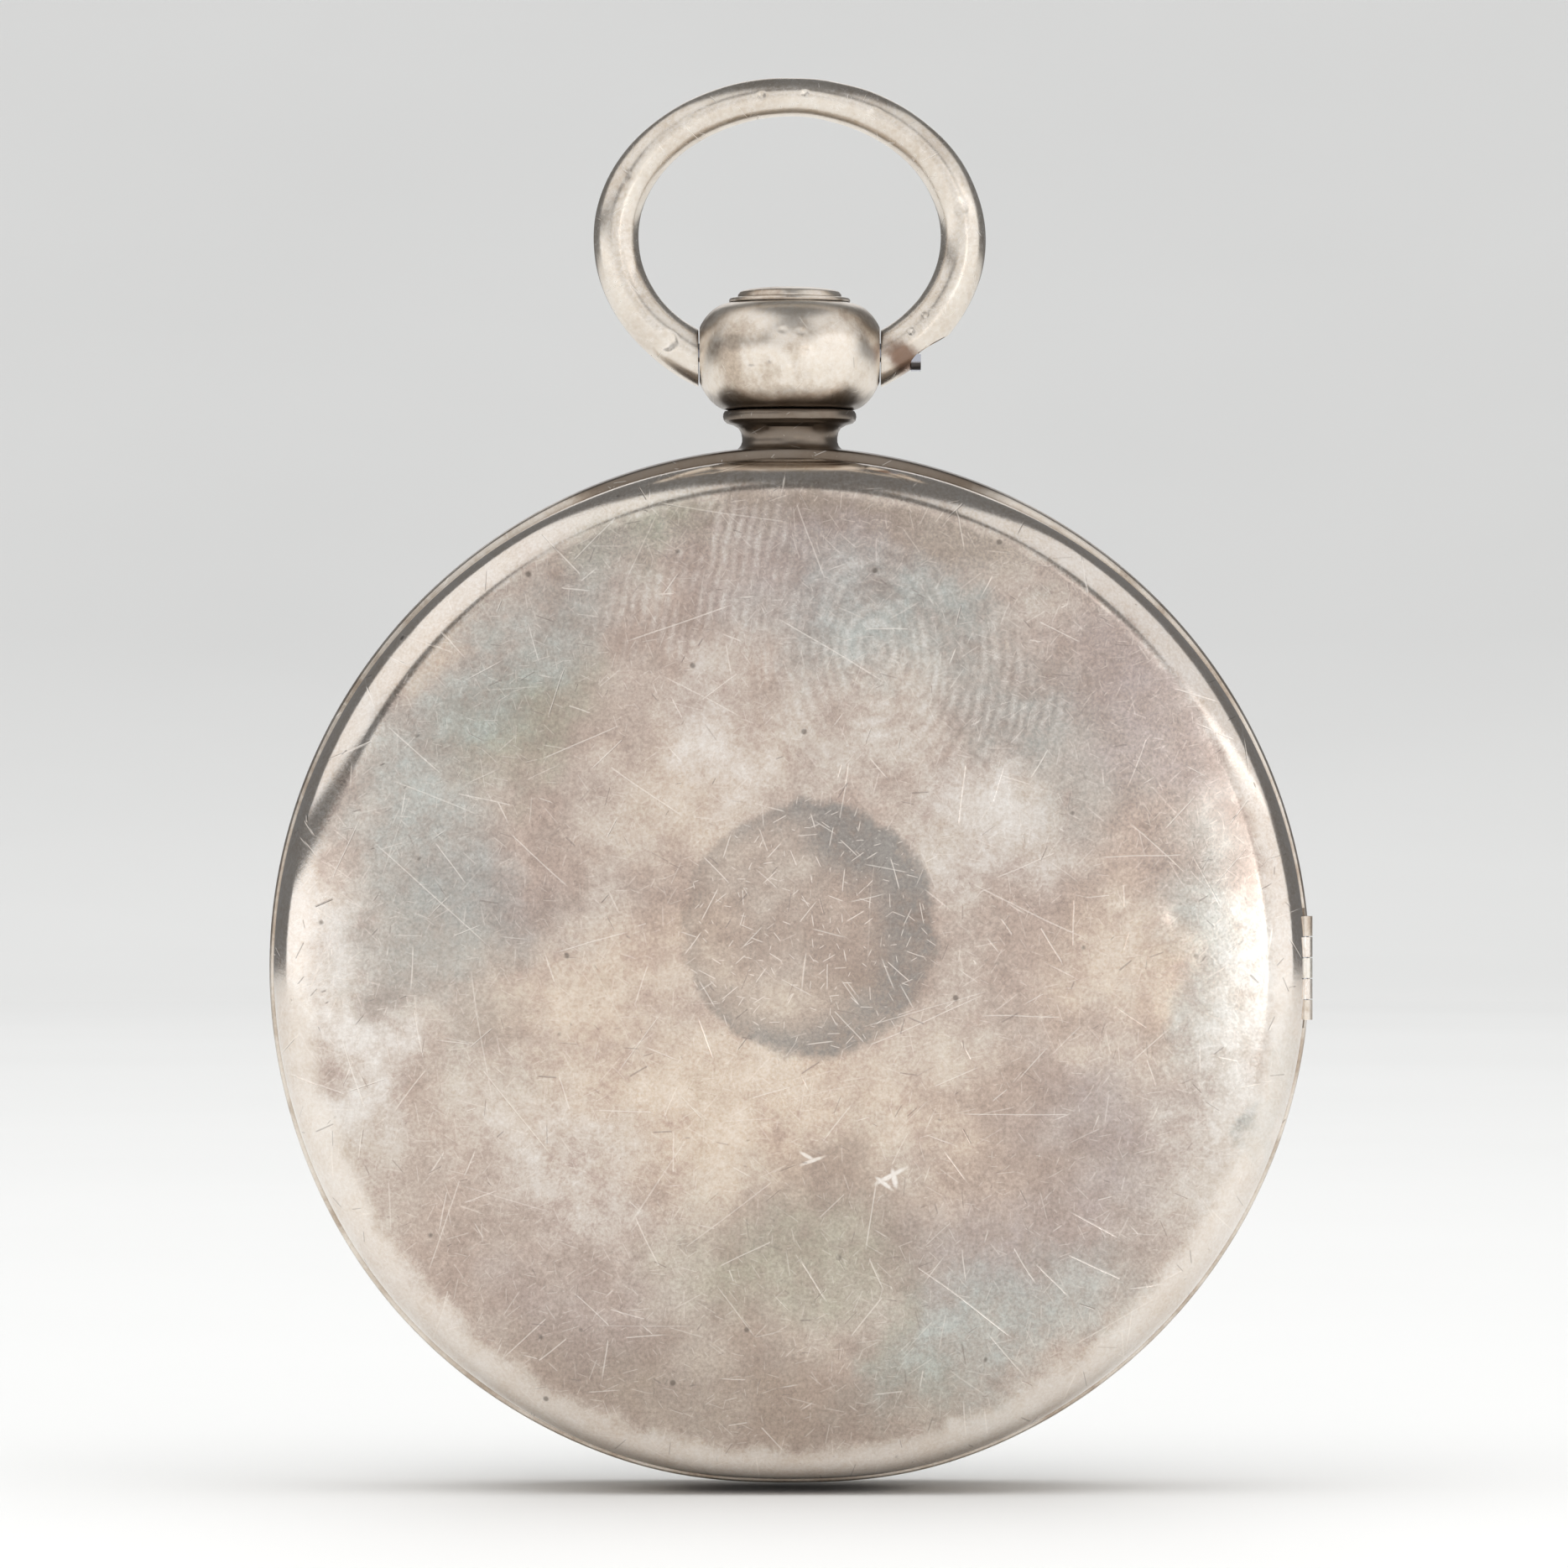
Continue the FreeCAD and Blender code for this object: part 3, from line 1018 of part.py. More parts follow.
def hands():
    hand("hour_hand", CENTRE, number("hour_at"), "hour_hand_long", "hour_hand_low", "hour_hand_high",
         "1.35", "pipe_radius", "1.0")
    hand("minute_hand", CENTRE, number("minute_at"), "minute_hand_long", "minute_hand_low",
         "minute_hand_high", "1.05", "set_radius", "0.85")
    hand("seconds_hand", FOURTH, number("seconds_at"), "seconds_hand_long", "seconds_hand_low",
         "seconds_hand_high", "0.45", "0.13", None)


def build():
    case_middle()
    pendant()
    pendant_cap()
    hinge_pin("back_hinge_pin", "band_half")
    hinge_pin("bezel_hinge_pin", "-band_half")
    bow()
    bow_screw()
    back_cover()
    inner_cover()
    bezel_ring()
    crystal()
    mainplate()
    barrel_bridge()
    for name in COCKS:
        cock(name)
    jewels()
    bridge_screws()
    case_screws()
    dial()
    seconds_dial()
    dial_feet()
    banking_pins()
    barrel_drum()
    barrel_cover()
    coil("mainspring", BARREL, 0, "spring_inner", "spring_outer", "spring_turns", "spring_thick",
         "drum_low + drum_floor + 0.05", "drum_high - 0.25", 160)
    barrel_arbor()
    ratchet_wheel()
    click()
    click_screw()
    click_spring()
    going_train()
    escape_wheel()
    pallet_lever()
    pallet_stones()
    balance()
    roller()
    balance_screws()
    coil("hairspring", BALANCE, STUD_TURN, "hair_inner", "hair_outer", "hair_turns", "hair_thick",
         "hair_low", "hair_high", 200)
    hairspring_stud()
    regulator()
    cap_jewel()
    motion_work()
    hands()


def write_parts():
    """Check the whole document, then write one file for each piece."""
    DOC.recompute()
    bad = [thing.Name for thing in DOC.Objects if {"Invalid", "Error"} & set(thing.State)]
    for piece in NODES:
        if piece.Shape.isNull() or not piece.Shape.isValid() or not piece.Shape.Solids:
            bad.append(piece.Label)
    if bad:
        raise ValueError("failed objects: " + ", ".join(bad))
    os.makedirs("parts", exist_ok=True)
    for piece in NODES:
        piece.Shape.exportStep(f"parts/{piece.Label}.step")


build()
write_parts()
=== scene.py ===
import json
import math

import bmesh
import bpy
import numpy as np
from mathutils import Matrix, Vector


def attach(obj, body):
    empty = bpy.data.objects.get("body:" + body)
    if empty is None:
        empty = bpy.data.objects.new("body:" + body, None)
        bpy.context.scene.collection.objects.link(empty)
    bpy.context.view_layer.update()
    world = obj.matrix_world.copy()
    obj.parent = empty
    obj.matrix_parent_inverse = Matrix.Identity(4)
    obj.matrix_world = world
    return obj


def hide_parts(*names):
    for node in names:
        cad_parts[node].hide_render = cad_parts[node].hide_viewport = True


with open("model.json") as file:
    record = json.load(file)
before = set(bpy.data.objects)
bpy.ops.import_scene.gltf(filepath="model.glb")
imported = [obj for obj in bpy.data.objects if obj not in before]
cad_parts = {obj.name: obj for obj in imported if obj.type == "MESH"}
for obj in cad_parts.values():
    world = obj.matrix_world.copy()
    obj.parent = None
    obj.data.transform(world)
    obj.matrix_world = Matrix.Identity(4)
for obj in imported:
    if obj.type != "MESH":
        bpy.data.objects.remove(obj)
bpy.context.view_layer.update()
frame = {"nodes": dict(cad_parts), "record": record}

MM = 0.001
CASE_Z = -39.23          # case axis below the eye of the bow, mm
PIVOT_Z = -10.9          # axis of the bow screw
HINGE_X = -23.55         # hinge axes, on the right as seen from the back
HINGE_HALF = 2.4         # half the length of a hinge
KNUCKLE_R, RELIEF_R = 0.42, 0.47
RELIEF_OVER = 0.35       # how far the hollow for the knuckles runs past them
KNUCKLE_GAP = 0.05       # between neighbouring knuckles
PART_Y = 2.8             # the two parting planes of the case
SECONDS_DROP = 9.8       # centre of the seconds dial below the case axis
DIAL_Y, SECONDS_DIAL_Y = -4.0, -3.85
RADIUS_STEPS = 384       # points round a case ring
CAMERA_REACH, VIEW_WIDE = 0.400, 0.0724      # metres
FLOOR_Z = -0.0633


# ------------------------------------------------------------------ shader helpers
class Shader:
    """A Principled material and short ways to add procedural detail to it, in millimetres."""

    def __init__(self, name, color, metal=0.0, rough=0.4, **sockets):
        self.mat = bpy.data.materials.new(name)
        self.mat.use_nodes = True
        self.tree = self.mat.node_tree
        self.bsdf = self.tree.nodes["Principled BSDF"]
        self.bsdf.inputs["Base Color"].default_value = (*color, 1.0)
        self.bsdf.inputs["Metallic"].default_value = metal
        self.bsdf.inputs["Roughness"].default_value = rough
        for key, value in sockets.items():
            self.bsdf.inputs[key.replace("_", " ")].default_value = value
        coords = self.node("ShaderNodeTexCoord").outputs["Object"]
        self.mm = self.vector("SCALE", coords, scale=1000.0)

    def node(self, kind, **props):
        made = self.tree.nodes.new(kind)
        for key, value in props.items():
            setattr(made, key, value)
        return made

    def put(self, socket, value):
        if isinstance(value, bpy.types.NodeSocket):
            self.tree.links.new(value, socket)
        elif value is not None:
            socket.default_value = value

    def vector(self, operation, first, second=None, scale=None):
        made = self.node("ShaderNodeVectorMath", operation=operation)
        self.put(made.inputs[0], first)
        self.put(made.inputs[1], second)
        if scale is not None:
            self.put(made.inputs["Scale"], scale)
        return made.outputs["Vector"]

    def math(self, operation, first, second=None, third=None, clamp=False):
        made = self.node("ShaderNodeMath", operation=operation, use_clamp=clamp)
        for socket, value in zip(made.inputs, (first, second, third)):
            self.put(socket, value)
        return made.outputs[0]

    def mapped(self, stretch=(1, 1, 1), turn=(0, 0, 0), shift=(0, 0, 0), source=None):
        made = self.node("ShaderNodeMapping")
        self.put(made.inputs["Vector"], source or self.mm)
        made.inputs["Scale"].default_value = stretch
        made.inputs["Rotation"].default_value = [math.radians(angle) for angle in turn]
        made.inputs["Location"].default_value = shift
        return made.outputs[0]

    def noise(self, scale, detail=3.0, rough=0.55, source=None):
        made = self.node("ShaderNodeTexNoise")
        self.put(made.inputs["Vector"], source or self.mm)
        made.inputs["Scale"].default_value = scale
        made.inputs["Detail"].default_value = detail
        made.inputs["Roughness"].default_value = rough
        return made.outputs["Fac"]

    def spread(self, value, low, high, to_low=0.0, to_high=1.0, kind="SMOOTHSTEP"):
        made = self.node("ShaderNodeMapRange", interpolation_type=kind)
        for socket, number in zip(made.inputs[:5], (value, low, high, to_low, to_high)):
            self.put(socket, number)
        return made.outputs[0]

    def blend(self, amount, first, second, kind="MIX"):
        made = self.node("ShaderNodeMix", data_type="RGBA", blend_type=kind)
        self.put(made.inputs[0], amount)
        for socket, value in ((made.inputs[6], first), (made.inputs[7], second)):
            self.put(socket, value if isinstance(value, bpy.types.NodeSocket) else (*value, 1.0))
        return made.outputs[2]

    def strokes(self, cell, long, wide, share=0.6, shift=0.0, bend=0.0):
        """Fine marks, one in each Voronoi cell, each turned its own way. Sizes in millimetres."""
        moved = self.vector("ADD", self.mm, (shift, 2.3 * shift, 1.7 * shift))
        if bend:
            wave = self.node("ShaderNodeTexNoise")
            self.put(wave.inputs["Vector"], self.mm)
            wave.inputs["Scale"].default_value = 0.6 / long
            moved = self.vector("ADD", moved, self.vector("SCALE", wave.outputs["Color"], scale=bend))
        cells = self.node("ShaderNodeTexVoronoi")
        self.put(cells.inputs["Vector"], moved)
        cells.inputs["Scale"].default_value = 1.0 / cell
        tint = self.node("ShaderNodeSeparateColor")
        self.put(tint.inputs[0], cells.outputs["Color"])
        turned = self.node("ShaderNodeVectorRotate", rotation_type="Y_AXIS")
        self.put(turned.inputs["Vector"], self.vector("SUBTRACT", moved, cells.outputs["Position"]))
        self.put(turned.inputs["Angle"], self.math("MULTIPLY", tint.outputs[0], 2 * math.pi))
        local = self.node("ShaderNodeSeparateXYZ")
        self.put(local.inputs[0], turned.outputs[0])
        reach = self.math("MULTIPLY", tint.outputs[2], long / 2)
        along = self.math("SUBTRACT", reach, self.math("ABSOLUTE", local.outputs[0]))
        across = self.math("ABSOLUTE", local.outputs[2])
        mark = self.math("MULTIPLY", self.spread(across, wide / 2, wide * 0.15),
                         self.spread(along, 0.0, long * 0.12))
        return self.math("MULTIPLY", mark, self.spread(tint.outputs[1], share, share - 0.35))

    def bump(self, height, strength, distance):
        made = self.node("ShaderNodeBump")
        made.inputs["Strength"].default_value = strength
        made.inputs["Distance"].default_value = distance * MM
        self.put(made.inputs["Height"], height)
        return made.outputs[0]

    def finish(self, color=None, rough=None, normal=None):
        for name, value in (("Base Color", color), ("Roughness", rough), ("Normal", normal)):
            if value is not None:
                self.put(self.bsdf.inputs[name], value)
        return self.mat


TINTS = {  # tarnish colours on the back; pale, umber and slate also serve for painted highlights and painted dark reflections
    "cool": (0.42, 0.465, 0.455), "green": (0.345, 0.36, 0.285), "slate": (0.30, 0.325, 0.318),
    "rose": (0.455, 0.375, 0.33), "plum": (0.355, 0.318, 0.318), "umber": (0.31, 0.258, 0.21),
    "honey": (0.75, 0.62, 0.505), "pale": (0.82, 0.79, 0.755), "slate_dark": (0.235, 0.235, 0.23),
}
PATCHES = (  # kind, across and up from the case axis, half width, half height, tilt, strength
    ("rose", -6.3, 12.6, 6.0, 3.2, 10, 0.75), ("rose", -12.5, 6.0, 3.4, 3.6, 0, 0.55),
    ("rose", -14.5, -11.0, 4.5, 5.5, 30, 0.65), ("rose", 12.3, 3.6, 3.2, 3.4, 0, 0.6),
    ("rose", 17.5, 8.0, 2.4, 5.4, 0, 0.5), ("rose", 7.5, -4.8, 6.0, 2.6, -35, 0.35),
    ("honey", -2.5, -5.8, 9.0, 3.6, 0, 0.75), ("honey", -9.0, -1.2, 5.6, 2.8, 20, 0.7),
    ("honey", 15.2, -0.2, 2.8, 3.8, 0, 0.6), ("honey", -17.2, 15.0, 2.8, 1.5, 45, 0.7),
    ("honey", -4.2, 8.6, 4.0, 3.0, 60, 0.5), ("honey", 8.5, -9.5, 3.0, 2.0, -30, 0.4),
    ("plum", 1.2, 18.4, 4.4, 3.0, 0, 0.75), ("plum", 16.0, 12.4, 5.0, 3.0, -50, 0.75),
    ("plum", 14.6, -8.0, 3.4, 4.6, 20, 0.75), ("plum", 9.8, -13.2, 5.2, 2.8, 20, 0.75),
    ("plum", -13.6, 3.6, 2.6, 2.0, 0, 0.45), ("plum", -9.0, -16.0, 4.5, 2.6, -20, 0.5),
    # The first umber patch on the next line (0.0, 21.6), a dark band high on the back, and the two umber
    # patches on the line after, low on the back, are partly tarnish and partly painted dark reflection.
    ("umber", 0.0, 21.6, 11.0, 1.5, 0, 0.8), ("umber", 7.4, 19.8, 3.6, 1.7, -20, 0.75),
    ("umber", -4.5, -18.8, 8.8, 2.6, -4, 0.75), ("umber", 3.0, -20.2, 6.5, 2.2, 0, 0.7),
    ("umber", 1.2, -10.4, 4.6, 2.6, 0, 0.5), ("umber", -19.0, 15.0, 1.6, 1.1, 45, 0.5),
    ("slate", -16.0, 1.6, 3.6, 3.0, 0, 0.8), ("slate", 7.3, 15.2, 2.8, 1.7, -20, 0.8),
    ("slate", 10.3, 11.8, 3.4, 2.4, -40, 0.8), ("slate", -14.2, -2.6, 2.2, 3.0, 10, 0.4),
    ("slate", 13.2, 8.4, 2.6, 2.2, 0, 0.5), ("green", -12.0, 11.8, 3.2, 2.4, 40, 0.9),
    ("green", -7.2, 20.2, 3.4, 1.6, 20, 0.7), ("green", 0.2, -13.6, 5.4, 2.2, 0, 0.65),
    ("green", 5.8, -17.0, 1.6, 3.0, 0, 0.6), ("cool", -17.0, 7.4, 2.8, 3.8, 0, 0.9),
    ("cool", -13.6, 13.0, 7.4, 2.0, 47, 0.8), ("cool", 3.4, 16.0, 4.0, 2.4, 0, 0.8),
    ("cool", 9.2, -17.0, 5.8, 2.3, 28, 0.9), ("cool", 19.4, 1.0, 1.9, 6.5, 0, 0.7),
    ("pale", 9.2, 6.4, 2.6, 2.6, 0, 0.7), ("pale", -3.4, 10.4, 1.5, 3.6, 20, 0.6),
    # On the next line the second pale patch (-20.2, -3.0), and on the line after it the pale patch (20.6,
    # -3.0), are painted highlights at the left and right of the back, as seen from the back.
    ("pale", -10.5, -9.4, 3.8, 2.2, -30, 0.5), ("pale", -20.2, -3.0, 2.0, 5.0, 8, 0.9),
    ("pale", 20.6, -3.0, 1.8, 6.0, -8, 0.8),
    # This slate patch is a painted dark reflection, a dark sliver at the lower right rim.
    ("slate", 22.0, -6.0, 0.62, 3.9, -15, 1.3),
)


def soft_spot(sh, across, up, wide, tall, tilt, edge, source):
    """Soft patch at a distance across and up from the case axis, tilted as seen from the back."""
    ball = sh.node("ShaderNodeTexGradient", gradient_type="SPHERICAL")
    sh.put(ball.inputs["Vector"], source)
    ball.texture_mapping.vector_type = "TEXTURE"
    ball.texture_mapping.translation = (-across, 0.0, CASE_Z + up)
    ball.texture_mapping.rotation = (0.0, math.radians(tilt), 0.0)
    ball.texture_mapping.scale = (wide * (1 + edge), 1000.0, tall * (1 + edge))
    return sh.spread(ball.outputs["Fac"], 0.0, 2 * edge / (1 + edge))


def warped(sh, scale, reach, detail=4.0):
    """Position pushed about by noise, for ragged outlines."""
    wave = sh.node("ShaderNodeTexNoise")
    sh.put(wave.inputs["Vector"], sh.mm)
    wave.inputs["Scale"].default_value = scale
    wave.inputs["Detail"].default_value = detail
    wave.inputs["Roughness"].default_value = 0.62
    push = sh.vector("SUBTRACT", wave.outputs["Color"], (0.5, 0.5, 0.5))
    return sh.vector("ADD", sh.mm, sh.vector("SCALE", push, scale=reach))


def finger_marks(sh, source):
    """Fine ridges: straight ones high on the left, and loops to the right of them."""
    total = None
    squash = 0.7
    for kind, scale, tilt, stretch, shift, spots in (
            ("BANDS", 0.62, 12, (1, 1, 1), (0, 0, 0),
             ((-2.6, 18.0, 3.4, 4.2, 20), (-5.6, 16.4, 3.0, 2.4, 0))),
            ("RINGS", 0.60, 0, (1, 1, squash), (3.9, 0, squash * (-CASE_Z - 14.6)),
             ((3.4, 14.2, 5.4, 4.8, 0), (8.6, 12.6, 3.6, 3.4, 0)))):
        ridges = sh.node("ShaderNodeTexWave", wave_type=kind)
        if kind == "RINGS":
            ridges.rings_direction = "Y"
        sh.put(ridges.inputs["Vector"], sh.mapped(stretch, (0, tilt, 0), shift))
        for name, value in (("Scale", scale), ("Distortion", 4.0), ("Detail", 2.0), ("Detail Scale", 0.9)):
            ridges.inputs[name].default_value = value
        for spot in spots:
            mark = sh.math("MULTIPLY", ridges.outputs["Fac"], soft_spot(sh, *spot, 0.6, source))
            total = mark if total is None else sh.math("MAXIMUM", total, mark)
    return sh.math("MULTIPLY", total, sh.spread(sh.noise(0.7, 3.0, 0.6), 0.35, 0.6))


NICKS = (  # bright nicks on the back: across, up, half width, half height, tilt
    (4.6, -9.4, 0.75, 0.10, 28), (4.75, -9.5, 0.12, 0.42, 12), (4.3, -9.75, 0.42, 0.09, -38),
    (1.05, -8.7, 0.55, 0.08, 20), (0.8, -8.5, 0.35, 0.08, -30),
)


def silver_back():
    """Handled silver: drifting tarnish, a worn round patch, finger marks, scratches and pits, with painted
    highlights and painted dark reflections among the patches and a rim painted lighter.
    """
    base = (0.605, 0.545, 0.492)
    sh = Shader("silver_back", base, 1.0, 0.2)
    far, near = warped(sh, 0.22, 9.0, 6.0), warped(sh, 0.7, 1.6, 6.0)
    cloud = sh.noise(0.15, 6.0, 0.66)
    mottle = sh.noise(0.55, 8.0, 0.80, sh.mapped(shift=(31, 4, 12)))
    grain = sh.noise(6.5, 4.0, 0.70)
    color = sh.blend(sh.spread(cloud, 0.38, 0.62), TINTS["rose"], base)
    broken = sh.spread(mottle, 0.34, 0.64, 0.35, 0.95, "LINEAR")
    stains_and_dark_reflections = 0.0
    for kind in ("rose", "honey", "plum", "umber", "slate", "green", "cool", "pale"):
        mark = 0.0
        for _, across, up, wide, tall, tilt, strength in [row for row in PATCHES if row[0] == kind]:
            spot = soft_spot(sh, across, up, wide, tall, tilt, 0.75, far)
            mark = sh.math("MAXIMUM", mark, sh.math("MULTIPLY", spot, strength))
        mark = sh.math("MULTIPLY", mark, broken, clamp=True)
        color = sh.blend(mark, color, TINTS[kind])
        # Plum, umber and slate marks, real stains and the painted dark reflections among them, also raise
        # the roughness.
        if kind in ("plum", "umber", "slate"):
            stains_and_dark_reflections = sh.math("MAXIMUM", stains_and_dark_reflections, mark)
    # Outer rim of the back painted lighter: partly polish from handling, partly a painted reflection; the
    # same mask also lowers the roughness.
    rim = sh.spread(soft_spot(sh, 0, 0, 22.0, 22.0, 0, 0.035, near), 1.0, 0.0, 0.0, 0.7)
    color = sh.blend(rim, color, (0.86, 0.80, 0.74))
    disc = soft_spot(sh, 0.93, 1.84, 5.75, 5.75, 0, 0.05, near)
    color = sh.blend(sh.math("MULTIPLY", disc, 0.24), color, TINTS["umber"])
    inner = soft_spot(sh, -0.25, 2.0, 4.5, 4.6, 20, 0.26, near)
    worn = sh.math("SUBTRACT", disc, inner, clamp=True)
    top_right = soft_spot(sh, 2.9, 5.9, 2.4, 1.7, -30, 0.5, near)
    worn = sh.math("MAXIMUM", worn, sh.math("MULTIPLY", top_right, disc))
    worn = sh.math("MULTIPLY", worn, sh.spread(mottle, 0.36, 0.56, 0.30, 1.0))
    color = sh.blend(sh.math("MULTIPLY", worn, 0.78), color, TINTS["slate_dark"])
    nick = 0.0
    for across, up, wide, tall, tilt in NICKS:
        nick = sh.math("MAXIMUM", nick, soft_spot(sh, across, up, wide, tall, tilt, 0.5, sh.mm))
    color = sh.blend(sh.math("MULTIPLY", nick, 0.65), color, (1.0, 0.95, 0.90))
    prints = finger_marks(sh, near)
    color = sh.blend(sh.math("MULTIPLY", prints, 0.32), color, TINTS["pale"])
    soft = sh.blend(sh.spread(mottle, 0.32, 0.68, kind="LINEAR"), (0.38, 0.36, 0.35), (0.63, 0.62, 0.61))
    color = sh.blend(0.8, color, soft, "OVERLAY")
    color = sh.blend(0.7, color, sh.blend(sh.spread(grain, 0.32, 0.68, kind="LINEAR"), (0.37, 0.36, 0.35),
                                          (0.65, 0.64, 0.63)), "OVERLAY")
    hair = [sh.strokes(0.9, 1.1, 0.06, 0.8, 3.0, 0.10), sh.strokes(0.6, 0.7, 0.05, 0.8, 11.0),
            sh.strokes(1.5, 1.8, 0.07, 0.75, 23.0, 0.2)]
    long = [sh.strokes(3.6, 4.2, 0.085, 0.66, 5.0, 0.5), sh.strokes(6.0, 8.0, 0.09, 0.62, 17.0, 0.7),
            sh.strokes(2.6, 3.2, 0.08, 0.64, 29.0, 0.3), sh.strokes(4.5, 6.5, 0.08, 0.6, 53.0, 0.4)]
    fine = sh.math("MAXIMUM", sh.math("MAXIMUM", *hair[:2]), hair[2])
    deep = sh.math("MAXIMUM", sh.math("MAXIMUM", *long[:2]), sh.math("MAXIMUM", *long[2:]))
    shown = sh.math("MULTIPLY", fine, sh.math("ADD", sh.math("MULTIPLY", disc, 0.30), 0.26))
    color = sh.blend(shown, color, (0.93, 0.85, 0.78))
    color = sh.blend(sh.math("MULTIPLY", deep, 0.36), color, (1.0, 0.93, 0.86))
    dark = sh.math("MAXIMUM", sh.strokes(2.6, 1.1, 0.10, 0.55, 41.0), sh.strokes(1.4, 1.0, 0.06, 0.5, 67.0))
    color = sh.blend(sh.math("MULTIPLY", dark, 0.5), color, (0.24, 0.20, 0.18))
    dots = sh.node("ShaderNodeTexVoronoi")
    sh.put(dots.inputs["Vector"], sh.mm)
    dots.inputs["Scale"].default_value = 0.55
    pits = sh.math("MULTIPLY", sh.spread(dots.outputs["Distance"], 0.10, 0.04),
                   sh.spread(sh.noise(0.9, 1.0, 0.5, sh.mapped(shift=(9, 9, 2))), 0.54, 0.60))
    color = sh.blend(sh.math("MULTIPLY", pits, 0.65), color, (0.12, 0.10, 0.085))
    rough = sh.spread(cloud, 0.3, 0.7, 0.19, 0.14, "LINEAR")
    rough = sh.math("ADD", rough, sh.math("MULTIPLY", stains_and_dark_reflections, 0.07))
    rough = sh.math("ADD", rough, sh.math("MULTIPLY", sh.math("ADD", worn, prints), 0.08))
    rough = sh.math("SUBTRACT", rough, sh.math("MULTIPLY", rim, 0.05))
    rough = sh.math("ADD", rough, sh.math("MULTIPLY", sh.math("SUBTRACT", grain, 0.5), 0.12), clamp=True)
    height = sh.math("SUBTRACT", sh.math("MULTIPLY", grain, 0.4), sh.math("ADD", deep, dark))
    return sh.finish(color, rough, sh.bump(height, 0.25, 0.02))


def silver(name, base, rough, stain, amount, seed=0.0, darker_heights=None, rust=None):
    """Plain silver of the band, pendant and bow, with painted shade in creases and hollows, a darker band
    between two heights where asked, and fine wear.
    """
    sh = Shader(name, base, 1.0, rough)
    cloud = sh.noise(0.35, 5.0, 0.6, sh.mapped(shift=(seed, 2 * seed, 5)))
    grain = sh.noise(4.0, 5.0, 0.72)
    color = sh.blend(sh.math("MULTIPLY", sh.spread(cloud, 0.42, 0.66), amount), base, stain)
    color = sh.blend(0.6, color, sh.blend(sh.spread(grain, 0.34, 0.66, kind="LINEAR"), (0.36, 0.35, 0.34),
                                          (0.66, 0.65, 0.64)), "OVERLAY")
    # Painted shade: colour pulled towards dark brown in creases, hollows and where parts meet, found with
    # an occlusion node.
    hollow = sh.node("ShaderNodeAmbientOcclusion", samples=6)
    hollow.inputs["Distance"].default_value = 0.9 * MM
    crease_shade = sh.spread(hollow.outputs["AO"], 0.35, 0.85, 1.0, 0.0)
    color = sh.blend(sh.math("MULTIPLY", crease_shade, 0.8), color, (0.16, 0.115, 0.08))
    # Darker band between two heights, across the pendant's collar and neck and the top of the case beside
    # it.
    if darker_heights:
        height = sh.node("ShaderNodeSeparateXYZ")
        sh.put(height.inputs[0], warped(sh, 0.9, 0.8))
        band = sh.math("MULTIPLY", sh.spread(height.outputs[2], darker_heights[0] + 0.5, darker_heights[0] - 0.4),
                       sh.spread(height.outputs[2], darker_heights[1] - 0.6, darker_heights[1] + 0.4))
        color = sh.blend(sh.math("MULTIPLY", band, 0.88), color, (0.145, 0.112, 0.085))
    if rust:
        mark = soft_spot(sh, *rust, 0.5, warped(sh, 1.4, 0.9))
        color = sh.blend(sh.math("MULTIPLY", mark, 0.85), color, (0.17, 0.085, 0.05))
    fine = sh.math("MAXIMUM", sh.strokes(0.9, 0.8, 0.035, 0.7, seed),
                   sh.strokes(2.6, 2.2, 0.05, 0.5, 3 + seed, 0.3))
    color = sh.blend(sh.math("MULTIPLY", fine, 0.40), color, (0.95, 0.92, 0.87))
    dark = sh.strokes(1.9, 0.7, 0.07, 0.42, 8 + seed)
    color = sh.blend(sh.math("MULTIPLY", dark, 0.6), color, (0.20, 0.16, 0.13))
    values = sh.math("ADD", rough, sh.math("MULTIPLY", sh.math("SUBTRACT", grain, 0.5), 0.18))
    values = sh.math("ADD", values, sh.math("MULTIPLY", fine, 0.10))
    height = sh.math("SUBTRACT", sh.math("MULTIPLY", grain, 0.5), sh.math("ADD", fine, dark))
    return sh.finish(color, values, sh.bump(height, 0.25, 0.02))


def frosted(name, base, rough, stain):
    """Gilt or brass with a fine frosted grain and faint stains."""
    sh = Shader(name, base, 1.0, rough)
    cloud = sh.noise(0.5, 4.0, 0.6)
    grain = sh.noise(14.0, 2.0, 0.6)
    color = sh.blend(sh.math("MULTIPLY", sh.spread(cloud, 0.45, 0.70), 0.5), base, stain)
    values = sh.math("ADD", rough, sh.math("MULTIPLY", sh.math("SUBTRACT", grain, 0.5), 0.25))
    return sh.finish(color, values, sh.bump(grain, 0.35, 0.02))


def turned_metal(name, base, rough, stain, line_scale=2.2):
    """Polished wheels and steelwork, with fine turning lines and specks."""
    sh = Shader(name, base, 1.0, rough)
    lines = sh.noise(1.0, 2.0, 0.5, sh.mapped((line_scale, 0.2, line_scale * 4)))
    spots = sh.noise(1.6, 3.0, 0.6)
    color = sh.blend(sh.math("MULTIPLY", sh.spread(spots, 0.52, 0.72), 0.55), base, stain)
    values = sh.math("ADD", rough, sh.math("MULTIPLY", sh.math("SUBTRACT", lines, 0.5), 0.2))
    return sh.finish(color, values, sh.bump(lines, 0.15, 0.01))


